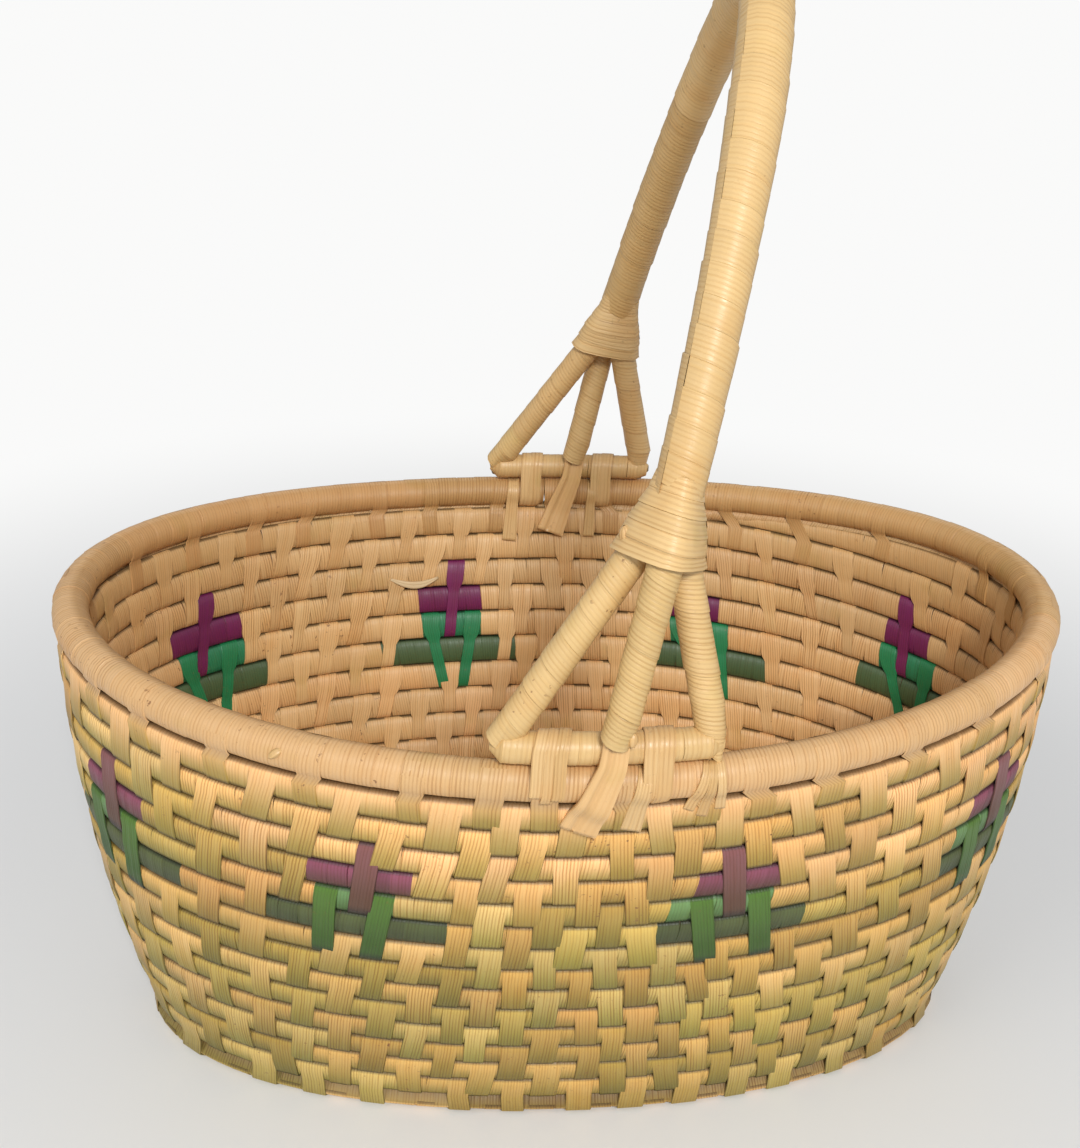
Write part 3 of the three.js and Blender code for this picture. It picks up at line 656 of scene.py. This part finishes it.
for name, low, high in (("base_stitches", 0, 6.0), ("lower_wall_stitches", 6.0, 13), ("upper_wall_stitches", 13, 21)):
    group = [bar for bar, at in zip(bars, turns_at(bar_s)) if low <= at < high]
    weave(name, lay_bars(group, 1) + lay_bars(group, -1), "coil_leaf")

# Rim: one thicker round over the last course, wrapped closely all round. At every stitch its strip runs on
# down over the course below. It ends against its own start at the middle of the back.
rim_strip_width, handle_strip_width, strip_reach, strip_lift = 8.0, 9.0, 0.53, 0.35
upright = np.array([0, 0, 1.0])


def round_run(centre, wanted_out, radius):
    tangent = unit(np.gradient(centre, axis=0))
    out = unit(square_to(tangent, wanted_out))
    return Run(centre, out, np.cross(out, tangent), radius=np.broadcast_to(radius, len(centre)))


def winding(length, width, tones, shortest=50, longest=140):
    """Even turns of strip that fill a length: where they lie, how wide they are, their colours and kinds."""
    count = max(1, round(length / width))
    s = (np.arange(count) + 0.5) * length / count
    colour, kind = leaf_lengths(length, tones, shortest, longest)(s)
    return dict(s=s, width=length / count, colour=colour * rand(0.97, 1.03, (count, 1)), kind=kind)


def lean_at(angle, first, lean, width):
    """How far along the run a slanting turn of strip lies at an angle round it."""
    return lean * width * ((angle - first) / (2 * math.pi) - 0.5)


def wind(name, run, turns, slot, lean=1.0, first=-90, edge_drop=-0.28, shingle=0.12, rows=17, loose=0.04,
         strip_edge_shade=0.84, inner_shade=None):
    """Strips wound round a round run, each turn a little over the one before."""
    s, width, count = turns["s"], turns["width"], len(turns["s"])
    angle = np.radians(first + np.linspace(0, 360, rows))
    wavy = rand(-0.3, 0.3, (count, 1, 1)) * by_row(np.sin(angle))
    places = by_strip(s) + by_row(lean_at(angle, angle[0], lean, width)) + wavy
    places = np.clip(places + strip_across * width * strip_reach, 0, run.length)
    lifted = strip_lift + edge_else(edge_drop, 0.0) + shingle * strip_across * lean
    points = run.around(places, by_row(angle), lifted + rand(-loose, loose, (count, 1, 1)))
    # The two edges of each turn are painted darker, as shade where the turns overlap.
    colours = np.broadcast_to(turns["colour"][:, None, None, :] * edge_else(strip_edge_shade, 1.0)[:, None], points.shape)
    # The inner half of the run is painted darker, as shade.
    if inner_shade is not None:
        colours = np.where((np.cos(angle) < 0)[None, :, None, None], colours * inner_shade, colours)
    around = by_row(angle) * float(np.mean(run.reaches["radius"]))
    return weave(name, [(points, colours, turns["kind"], grain_of(around, strip_across * width / 2, count))], slot)


rim_turns = np.linspace(0, 1, 1500)


def rim_place(turns):
    return wall_point(np.ones_like(turns), facing_at(turns))


rim_ahead = unit(rim_place(rim_turns + 1e-4) - rim_place(rim_turns - 1e-4))
rim_out = unit(np.cross(rim_ahead, square_to(rim_ahead, upright)))
rim = round_run(rim_place(rim_turns), rim_out, rim_radius - 0.45)
leaf_material("rim_leaf", rib_pitch=1.2, rib_depth=0.5)
rim_winding = winding(rim.length, rim_strip_width, rim_tones)
# The rim's inner half and its stitches inside are painted darker and warmer, as shade.
rim_lean, rim_first, shaded_rim = 0.3, -90, linear((232, 224, 206))
rim_wraps = wind("rim_wraps", rim, rim_winding, "rim_leaf", lean=rim_lean, first=rim_first, edge_drop=-0.25,
                 shingle=0.1, loose=0.1, inner_shade=shaded_rim)
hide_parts("rim_coil")

# Rim stitches: each follows a turn of the rim's own wrap, about midway between two stitches of the last course,
# and runs down over that course, outside and inside. Where the last course thins out, it takes the one before.
last_round = all_stitches[(all_stitches > 19.8) & (all_stitches < last_stitch_turn)]
rim_stitch_s = np.interp((last_round[1:] + last_round[:-1]) / 2 % 1, rim_turns, rim.s)
nearest_turn = np.clip((rim_stitch_s / rim_winding["width"]).astype(int), 0, len(rim_winding["s"]) - 1)
rim_stitch_s = rim_winding["s"][nearest_turn]
rim_stitch_turns = np.interp(rim_stitch_s, rim.s, rim_turns)
stitch_count = len(rim_stitch_s)
degrees = np.array([25, 45, 70, 92, 112, 128, 140])
rim_stitch_lift = np.array([0.36, 0.4, 0.42, 0.5, 0.65, 0.85, 1.0])
over_shade_tint, rim_to_course, thinning_turn = (1.0, 0.98, 0.76), 17, 0.86
below_turns = np.where(rim_stitch_turns < thinning_turn, 20, 19) + rim_stitch_turns
rim_grids = []
for side in (1, -1):
    width = by_strip(rim_winding["width"] * (1 if side > 0 else 0.85) * rand(0.9, 1.1, stitch_count))
    lean = rand(-2, 2, (stitch_count, 1, 1))
    angle = np.radians(90 - side * degrees)
    places = (by_strip(rim_stitch_s) + strip_across * width / 2
              + lean * by_row(np.linspace(0, 0.5, len(degrees)))
              + by_row(lean_at(angle, math.radians(rim_first), rim_lean, rim_winding["width"])))
    upper = rim.around(places, by_row(angle), by_row(rim_stitch_lift) + edge_else(-0.3, 0.0))
    tucked = lean * by_row(0.5 + (1 - over_q) / 4)
    lower = strips_round(s_at(below_turns), width, over_q, side, tucked, by_row(over_lift), -0.45)
    points = np.concatenate([upper, lower], 1)
    # Outside, the part over the course is painted darker and more golden, as shade. Inside, the stitch takes the
    # rim's painted shade.
    over_tones = painted_light_down((2 - over_q) / 3) * over_shade_tint if side > 0 else np.ones((len(over_q), 3))
    tones = np.concatenate([np.ones((len(degrees), 3)), over_tones])
    colours = rim_winding["colour"][nearest_turn][:, None, None, :] * tones[None, :, None, :]
    if side < 0:
        colours = colours * shaded_rim
    along = np.concatenate([np.radians(degrees) * rim_radius, rim_to_course + course_height * (1 - over_q) / 2])
    grid = (points, np.broadcast_to(colours, points.shape), spread(rim_winding["kind"][nearest_turn], points),
            grain_of(by_row(along), strip_across * width / 2, stitch_count))
    rim_grids.append(turned_over(grid) if side > 0 else grid)
weave("rim_stitches", rim_grids, "rim_leaf")

# Seam under the rim: a thin wound strand lies in it all round. It is thicker at the back, where the coil's own
# bundle thins out to nothing.
strand_radius, thicker_by, thicker_from, thickening = 1.7, 1.3, 0.72, 0.12
seam_turns = np.linspace(0, 1, 700)
seam_radius = strand_radius + thicker_by * eased((seam_turns - thicker_from) / thickening)
above_seam = rim_place(seam_turns)
wall_down = unit(wall_point(np.full_like(seam_turns, 0.93), facing_at(seam_turns)) - above_seam)
seam = round_run(above_seam + wall_down * (rim_radius + 0.1 + seam_radius * 0.5)[:, None],
                 np.cross(unit(np.gradient(above_seam, axis=0)), wall_down), seam_radius)
# The strand's inner half is painted darker, as shade in the seam.
wind("seam_strand", seam, winding(seam.length, wrap_width, inner_tones), "coil_leaf", rows=9, inner_shade=0.6)

# Handle: three leaf ribs bound into one shaft by strip wound close, parting into three legs over each foot.
# Its lines follow the solids' own sizes.
shaft_diameter, grip_swell, grip_start, grip_full, grip_shrinks, grip_end = 15, 1.9, 0.1, 0.3, 0.55, 0.8
rib_radius, leg_radius, foot_radius, foot_half_span, middle_leg_shift = 2.7, 5.25, 5.2, 32, 1.5
handle_x, foot_skew, handle_rise, handle_lean = 8.5, 2.5, 216, math.radians(12.8)
arch_across, arch_up, fork_height, binding_overlap, binding_length = 1.6, 1.7, 64, 4, 20
rib_spacing = 2 * rib_radius + 0.3
leg_spacing = 2 * leg_radius / math.cos(math.pi / 12) + 0.3
foot_height = rim_radius + foot_radius + 0.3
lean_up = np.array([math.sin(handle_lean), 0, math.cos(handle_lean)])
sideways = np.array([math.cos(handle_lean), 0, -math.sin(handle_lean)])


def rim_line(x, end):
    x = np.asarray(x, float)
    y = end * rim_half_width * np.sqrt(1 - (x / rim_half_length) ** 2)
    return np.stack([x, y, rim_height + rim_end_rise * (x / rim_half_length) ** 2], -1)


def foot_middle(end):
    return handle_x + end * foot_skew


def foot_line(x, end):
    return rim_line(x, end) + upright * foot_height


arch_foot = foot_line(handle_x, 1)


def arch_at(turn):
    c, s = np.cos(turn), np.sin(turn)
    out = -np.sign(c) * np.abs(c) ** (2 / arch_across)
    line = np.stack([arch_foot[0] + foot_skew * out, arch_foot[1] * out, arch_foot[2] + 0 * out], -1)
    return line + (handle_rise * s ** (2 / arch_up))[..., None] * lean_up


def turn_at_height(up, end):
    turn = np.arcsin((np.asarray(up, float) / handle_rise) ** (arch_up / 2))
    return turn if end < 0 else math.pi - turn


def arch_frame(turn):
    tangent = unit(arch_at(turn + 0.01) - arch_at(turn - 0.01))
    side = unit(square_to(tangent, sideways))
    return arch_at(turn), side, -np.cross(tangent, side)


def bundle_spot(turn, which, spacing):
    """Place of the left (-1), middle (0) or right (1) rib in a bundle, the middle one outermost."""
    centre, side, out = arch_frame(turn)
    spacing = np.asarray(spacing)[..., None]
    return centre + side * which * spacing / 2 + out * spacing * (-1 / math.sqrt(12) if which else 1 / math.sqrt(3))


def leg_end(end, which):
    if which:
        return foot_line(foot_middle(end) + which * foot_half_span, end) + upright * (foot_radius / 2)
    beside = np.array([0, -(foot_radius + 1.4), foot_radius + 0.3])
    return foot_line(foot_middle(end) + middle_leg_shift, end) + beside


def leg_top(end, which):
    return bundle_spot(turn_at_height(fork_height, end), which, leg_spacing)


def turns_over(height, count):
    """Turns along the arch, from one height above the front foot to the same height above the rear one."""
    return np.linspace(*(float(turn_at_height(height, end)) for end in (-1, 1)), count)


def domed(from_end, rounding, least=0.0):
    """Share of its full radius that a coil with a rounded end has near that end."""
    return np.sqrt(np.clip(1 - (1 - from_end / rounding).clip(0, 1) ** 2, least, 1))


leaf_material("handle_leaf", rib_pitch=1.45, rib_depth=0.34, roughness=0.45)
inside_binding = 7
shaft_turns = turns_over(fork_height + binding_length - inside_binding, 500)
shaft_share = np.linspace(0, 1, 500)
grip = eased((shaft_share - grip_start) / (grip_full - grip_start))
grip = grip * eased((grip_end - shaft_share) / (grip_end - grip_shrinks))
shaft = round_run(arch_at(shaft_turns), sideways, (shaft_diameter + grip_swell * grip) / 2 - strip_lift)
shaft_wrap = wind("shaft_strips", shaft, winding(shaft.length, handle_strip_width, handle_tones), "handle_leaf",
                  first=150, loose=0.16)
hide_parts("shaft_wrap")

# How far a leg's wrap runs on past its end, its least radius there and its rounding; and the one pointed leg
outer_leg_end, middle_leg_end = (3.0, 1.4, 2.5), (0.8, 3.4, 1.0)
point_length, point_radius, point_slope = 9.0, 0.9, 0.32
binding_strip_width, binding_lean, foot_rounding = 5.0, 0.6, 4.5
ring = np.radians(np.linspace(0, 360, 17))
way, ring_again = np.stack([np.cos(ring), np.sin(ring)], -1), np.arange(17) % 16
ends = (("front", -1), ("rear", 1))
for end_name, end in ends:
    # Leg wraps: the same strip wound down each rib to the foot. The front right one runs out in a point that
    # is tucked in on the rim.
    for name, which in (("left", -1), ("middle", 0), ("right", 1)):
        top, bottom = leg_top(end, which), leg_end(end, which)
        pointed = end < 0 and which > 0
        run_on, least, rounding = outer_leg_end if which else middle_leg_end
        bottom = bottom + unit(bottom - top) * (point_length if pointed else run_on)
        line = lerp(top, bottom, np.linspace(-0.02, 1, 90)[:, None])
        from_end = np.linalg.norm(line - bottom, axis=1)
        full = leg_radius - strip_lift
        blunt = least + (full - least) * domed(from_end, rounding)
        radius = np.minimum(full, point_radius + from_end * point_slope) if pointed else blunt
        leg = round_run(line, sideways, radius)
        piece = wind(f"{end_name}_{name}_leg_strips", leg, winding(leg.length, handle_strip_width + 1, handle_tones),
                     "handle_leaf", first=90, lean=0.9, loose=0.08)
        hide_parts(f"{end_name}_{name}_leg_wrap")

    # Fork binding: strip wound over the tops of the legs and drawn in to the shaft
    above = np.linspace(-binding_overlap, binding_length + 0.5, 40)
    drawn_in = eased(above / binding_length)
    turn = turn_at_height(fork_height + above, end)
    centre, side, out = arch_frame(turn)
    spots = []
    for which in (-1, 0, 1):
        on_leg = lerp(leg_top(end, which), leg_end(end, which), (-above / fork_height)[:, None])
        in_bundle = bundle_spot(turn, which, lerp(leg_spacing, rib_spacing, drawn_in))
        spot = np.where((above < 0)[:, None], on_leg, in_bundle) - centre
        spots.append(np.stack([(spot * side).sum(1), (spot * out).sum(1)], -1))
    flat = np.stack(spots, 1)
    furthest = (flat[:, :, None] * way).sum(-1).argmax(1)
    reach = lerp(leg_radius * 1.15 + 0.3, 3.0, drawn_in) / math.cos(math.pi / 12) + lerp(1.3, 1.75, drawn_in)
    section = np.take_along_axis(flat, furthest[..., None], 1) + by_strip(reach) * way[None]
    before, after = (np.roll(section[:, :-1], i, 1)[:, ring_again] for i in (1, -1))
    section = 0.5 * section + 0.25 * (before + after)
    spine = Run(centre, side, out)
    turns = winding(spine.length, binding_strip_width, handle_tones, 30, 90)
    width, count = turns["width"], len(turns["s"])
    places = by_strip(turns["s"]) + by_row(lean_at(ring, 0, binding_lean, width))
    places = np.clip(places + strip_across * width * strip_reach, 0, spine.length)
    lift = 0.1 + edge_else(-0.35, 0) - 0.22 * strip_across + rand(-0.05, 0.05, (count, 1, 1))
    points = np.stack([spine.place(places[:, row], *(np.interp(places[:, row], spine.s, section[:, row, i])
                                                     + lift[:, 0] * way[row, i] for i in (0, 1)))
                       for row in range(len(ring))], 1)
    # The two edges of each turn are painted darker, as shade where the turns overlap.
    grid = (points, spread(turns["colour"], points) * edge_else(0.78, 1.0)[:, None], spread(turns["kind"], points),
            grain_of(by_row(ring) * 10, strip_across * width / 2, count))
    binding = weave(f"{end_name}_fork_strips", [turned_over(grid) if end > 0 else grid], "handle_leaf")
    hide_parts(f"{end_name}_fork_binding")

    # Foot: a short wrapped coil that lies on the rim
    half = foot_half_span + leg_radius - 1.5
    x = np.linspace(-half, half, 160)
    radius = (foot_radius - 0.3) * domed(half - abs(x), foot_rounding, 0.04)
    foot = round_run(foot_line(foot_middle(end) + x, end), upright, radius)
    piece = wind(f"{end_name}_foot_strips", foot, winding(foot.length, handle_strip_width / 2, handle_tones),
                 "handle_leaf", first=-180, lean=0.5, strip_edge_shade=0.93)
    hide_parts(f"{end_name}_foot_coil")

# Bare middle rib: pressed flat where it leaves the wrap, laid over the rim and down onto the first course.
# Its flat ends are folded lengthwise and shine a little.
strap_thickness, strap_drop, strap_slant, strap_leaves_rim, strap_fold = 2.2, 16, 10, 0.6, 0.9
strap_widths, bare_rib_radius, rib_colour, rib_kind = (7.5, 12), 2.4, (222, 180, 124), (0.6, 0.3, 0.4)
hidden_from = 12
wall_lean = (rim_half_width - base_half_width) * (1 - side_bulge) / (rim_height - ground_height)
wall_face, to_camera = 5.25, np.array([0, -1, 0.15])
ribbon_across = np.array([-1, -0.5, 0.15, 0.3, 0.45, 0.8, 1, 1, -1, -1])
ribbon_face, fold_column = np.array([0.3, 0.5, 0.5, 0.5, 0.5, 0.5, 0.3, -0.5, -0.5, 0.3]), 3


def ribbon(path, facing, width, thickness, colour, kind, leaf_width, fold=0.0):
    """A closed flat strip along a path, its broad face turned the given way, ready to weave in one colour."""
    ahead = unit(np.gradient(path, axis=0))
    facing = unit(square_to(ahead, np.broadcast_to(facing, path.shape)))
    across = np.cross(ahead, facing)
    z = ribbon_face * thickness
    z[fold_column] -= fold
    half = by_strip(np.broadcast_to(width, len(path)) / 2)
    points = path[:, None] + across[:, None] * ribbon_across[:, None] * half + facing[:, None] * z[:, None]
    first, last = (np.broadcast_to(points[i].mean(0), points[i].shape)[None] for i in (0, -1))
    points = np.concatenate([first, points, last])
    along = np.concatenate([[0], np.cumsum(step_lengths(points.mean(1)))])[:, None]
    return points[None], linear([colour]), np.array([kind]), grain_of(along, ribbon_across * leaf_width / 2, 1)


def rod(path, radius, colour, kind, wanted):
    """A closed round rod along a path, ready to weave in one colour."""
    run = round_run(path, np.array(wanted), radius)
    angle = np.linspace(0, 2 * math.pi, 11)[:, None]
    s = np.broadcast_to(run.s, (len(angle), len(run.s)))
    grain = grain_of(s[None], angle[None] * np.mean(radius), 1)
    return run.around(s, angle, 0.0)[None], linear([colour]), np.array([kind]), grain


def smoothed(path):
    """The path with its corners rounded off. Its two ends stay where they are."""
    path = path.copy()
    for _ in range(2):
        path[1:-1] = 0.5 * path[1:-1] + 0.25 * (path[2:] + path[:-2])
    return path


def wall_reach(z, end):
    """How far the wall's face stands out from the rim's centre line, at a height below it."""
    return wall_face - end * wall_lean * z


def down_rim(x, end, z, away, slant):
    """A line at these heights over the rim's centre line, and this far in front of it."""
    on = rim_line(x, end)
    return np.stack([x + slant * np.linspace(0, 1, len(z)), on[1] - away, on[2] + z], -1)


def strap_path(end):
    start = leg_end(end, 0)
    z = lerp(foot_height, -strap_drop, np.linspace(0, 1, 24))
    on_rim = lerp(rim_radius, wall_reach(z, end), eased(-z / rim_radius - strap_leaves_rim))
    down = down_rim(start[0], end, z, on_rim + 0.6 + strap_thickness / 2, -strap_slant)
    from_leg = start + unit(leg_top(end, 0) - start) * np.array([[7], [4.5], [2], [-0.5]])
    return smoothed(np.concatenate([from_leg, down[1:]]))


leaf_material("bare_rib", rib_pitch=2.2, rib_depth=0.14, roughness=0.34)
legs_in = [lerp(leg_top(end, 0), leg_end(end, 0), np.linspace(0, 0.97, 12)[:, None]) for end in (-1, 1)]
in_shaft = bundle_spot(turns_over(fork_height + hidden_from, 80), 0, rib_spacing)
rib_path = np.concatenate([legs_in[0][::-1], in_shaft, legs_in[1]])
strap_grids = [rod(rib_path, bare_rib_radius, rib_colour, rib_kind, sideways)]
for end in (-1, 1):
    path = strap_path(end)
    widths = lerp(*strap_widths, np.linspace(0, 1, len(path)))
    strap_grids.append(ribbon(path, to_camera, widths, strap_thickness, rib_colour, rib_kind, 11, strap_fold))
middle_rib = weave("middle_rib_and_straps", strap_grids, "bare_rib")
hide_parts("middle_rib")

# Outer two ribs: of the same leaf, and wound over from end to end. They stay the solids that they are, with a
# plain fibrous finish.
wound_rib, shader, start = new_material("wound_rib")
fibre = start.node("ShaderNodeTexCoord", output="Object").noise(300.0, 3.0)
fibre.mix(colour_value((214, 170, 112)), colour_value((232, 190, 132))).into(shader, "Base Color")
for node in ("left_rib", "right_rib"):
    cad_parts[node].data.materials[0] = wound_rib

# Lashings: strips that sew each foot to the rim. They lie over the foot, run down the rim and on over the
# first course, and at the front left they are split narrow and torn off short. Each strip has its shift along
# the foot, the degrees that it reaches down the rim's front, and its slant.
leaf_material("strap_leaf", rib_pitch=1.3, rib_depth=0.3, roughness=0.42)
lashing_places, low_at_back, strip_thickness = {"left": -16, "right": 16}, 30, 0.7
whole_strips, split_strips = ((-2.2, 52, -2.0), (1.9, 52, -2.5)), ((-2.9, 12, -3.0), (0.4, 34, -3.0), (3.6, 20, -3.0))
lashing_colours = ((218, 182, 128), (213, 175, 120), (206, 168, 112))


def lashing_path(x, end, lift, low_at_front, slant):
    """Over foot and rim at a place along them, from low on the rim's back, and the way its face is turned."""
    turn = np.radians(np.linspace(180 + low_at_back, -low_at_front, 40))
    along = unit(rim_line(x + 1, end) - rim_line(x - 1, end))
    up = unit(square_to(along, upright))
    forward = np.cross(along, up)
    on_foot = foot_height * np.sin(turn) + foot_radius > rim_radius
    radius = np.where(on_foot, foot_radius, rim_radius) + lift
    path = smoothed(rim_line(x, end) + forward * (radius * np.cos(turn))[:, None]
                    + up * (np.where(on_foot, foot_height, 0) + radius * np.sin(turn))[:, None])
    facing = path - (rim_line(x, end) + up * foot_height / 2)
    path[:, 0] += slant * np.linspace(0, 1, len(path)) ** 2
    return path, facing


for end_name, end in ends:
    for name, offset in lashing_places.items():
        strips, width = (split_strips, 3.9) if end < 0 and name == "left" else (whole_strips, 5.4)
        grids = []
        for i, (shift, low_at_front, slant) in enumerate(strips):
            path, facing = lashing_path(foot_middle(end) + offset + shift, end, 0.42 + 0.14 * i, low_at_front, slant)
            grids.append(ribbon(path, facing, width, strip_thickness, lashing_colours[i], (0.9, 0.2, 0.3 * i), 4.6))
        piece = weave(f"{end_name}_{name}_lashing_strips", grids, "strap_leaf")
        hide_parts(f"{end_name}_{name}_lashing")

# Knots and loose ends: knots beside the front fork, on the middle leg and on the rim, strips that run from the
# foot over the rim onto the first course, and an end of wrapping strip that has come loose inside.
face_top, face_lift, curl_turn = 6.4, 0.95, 18.032


def down_face(x, end, bottom, slant):
    """Down over the rim, on the side that faces the camera, and on down the wall."""
    z = np.linspace(face_top, bottom, 24)
    on_rim = np.sqrt(np.maximum(rim_radius ** 2 - z ** 2, 0))
    away = np.where(z > 0, on_rim, np.maximum(on_rim, wall_reach(z, end))) + face_lift
    return smoothed(down_rim(x, end, z, away, slant))


def knot(place, ahead, length, radius):
    share = np.linspace(-1, 1, 13)
    line = place + unit(np.asarray(ahead, float)) * (share * length / 2)[:, None]
    rounded = radius * np.sqrt(np.maximum(1 - share ** 2, 0.02))
    return rod(line, rounded, lashing_colours[1], (0.8, 0.4, 0.3), (0.3, -1, 0.2))


trim_grids = [knot(leg_top(-1, which) + sideways * which * 5.2 + to_camera, (0.3 * which, 0, 1), 8, 2.4)
              for which in (-1, 1)]
trim_grids.append(knot(leg_end(-1, 0) + sideways * 4.6 + np.array([0, -1.5, 3.5]), (0, 0.2, 1), 5, 1.7))
trim_grids.append(knot(rim_line(-95, -1) + np.array([0, -rim_radius, 1.5]), (1, 0.2, 0.6), 5, 1.4))
for x, end, bottom, slant, width, tone in (
        (17.5, -1, -17, -3.5, 6.5, 0), (36.5, -1, -10, -5.0, 3.6, 1), (38.5, -1, -13, -2.5, 3.6, 2),
        (40.5, -1, -10, 1.0, 3.4, 0), (-14.0, 1, -20, -2.0, 6.5, 1), (21.0, 1, -18, -1.0, 5.0, 2)):
    path = down_face(x, end, bottom, slant)
    trim_grids.append(ribbon(path, to_camera, width * np.linspace(0.7, 1, len(path)), strip_thickness,
                             lashing_colours[tone], (0.9, 0.4, 0.3 * tone), width))
curl_share = np.linspace(0, 1, 20)
bent = np.sin(3 * curl_share)
curl = on_coil(s_at(curl_turn) + lerp(30, 8, curl_share), -0.1 - 0.5 * bent, -1, 0.8 + 2.2 * bent)
curl_widths = 1.0 + 2.4 * np.sin(math.pi * curl_share)
trim_grids.append(ribbon(curl, to_camera, curl_widths, 0.5, (224, 200, 158), (0.7, 0.1, 0.6), 3))
weave("knots_and_loose_ends", trim_grids, "strap_leaf")

# Floor and surround: a pale floor that fades into an even pale surround, a small lamp above and behind the
# camera, and a larger, weaker one at the left.
surround_pale = (0.955, 0.955, 0.95, 1)
bpy.ops.mesh.primitive_plane_add(size=12, location=(0, 0, -0.0002))
floor = bpy.context.object
floor.name = "floor"
floor_pale, shader, start = new_material("floor_pale")
shader.inputs["Base Color"].default_value = (0.8, 0.8, 0.79, 1)
shader.inputs["Roughness"].default_value = 0.9
from_basket = start.node("ShaderNodeVectorMath", {0: start.node("ShaderNodeTexCoord", output="Object")}, output=1,
                         operation="LENGTH")
even = start.node("ShaderNodeEmission", {"Color": surround_pale, "Strength": 1.0})
fading = from_basket.ramp(0.25, 0.75) * start.node("ShaderNodeLightPath")
faded = start.node("ShaderNodeMixShader", {0: fading, 1: Wire(start.tree, shader.outputs[0]), 2: even})
faded.into(start.tree.nodes["Material Output"], "Surface")
floor.data.materials.append(floor_pale)

world = bpy.data.worlds.new("surround")
scene.world = world
world.use_nodes = True
backdrop = world.node_tree.nodes["Background"]
seen = Wire(world.node_tree).node("ShaderNodeLightPath")
seen.mix((0.94, 0.96, 1.0, 1), surround_pale).into(backdrop, "Color")
(seen * 0.52 + 0.48).into(backdrop, "Strength")
for name, place, size, power in (("key", (0.12, -1.3, 1.18), 0.3, 17.8), ("fill", (-1.2, -1.0, 1.3), 1.0, 5)):
    lamp = bpy.data.objects.new(name, bpy.data.lights.new(name, "AREA"))
    scene.collection.objects.link(lamp)
    lamp.data.shape = "DISK"
    lamp.data.size = size
    lamp.data.energy = power
    lamp.location = place
    lamp.rotation_mode = "QUATERNION"
    lamp.rotation_quaternion = (Vector((0, 0, 0.14)) - Vector(place)).to_track_quat("-Z", "Y")
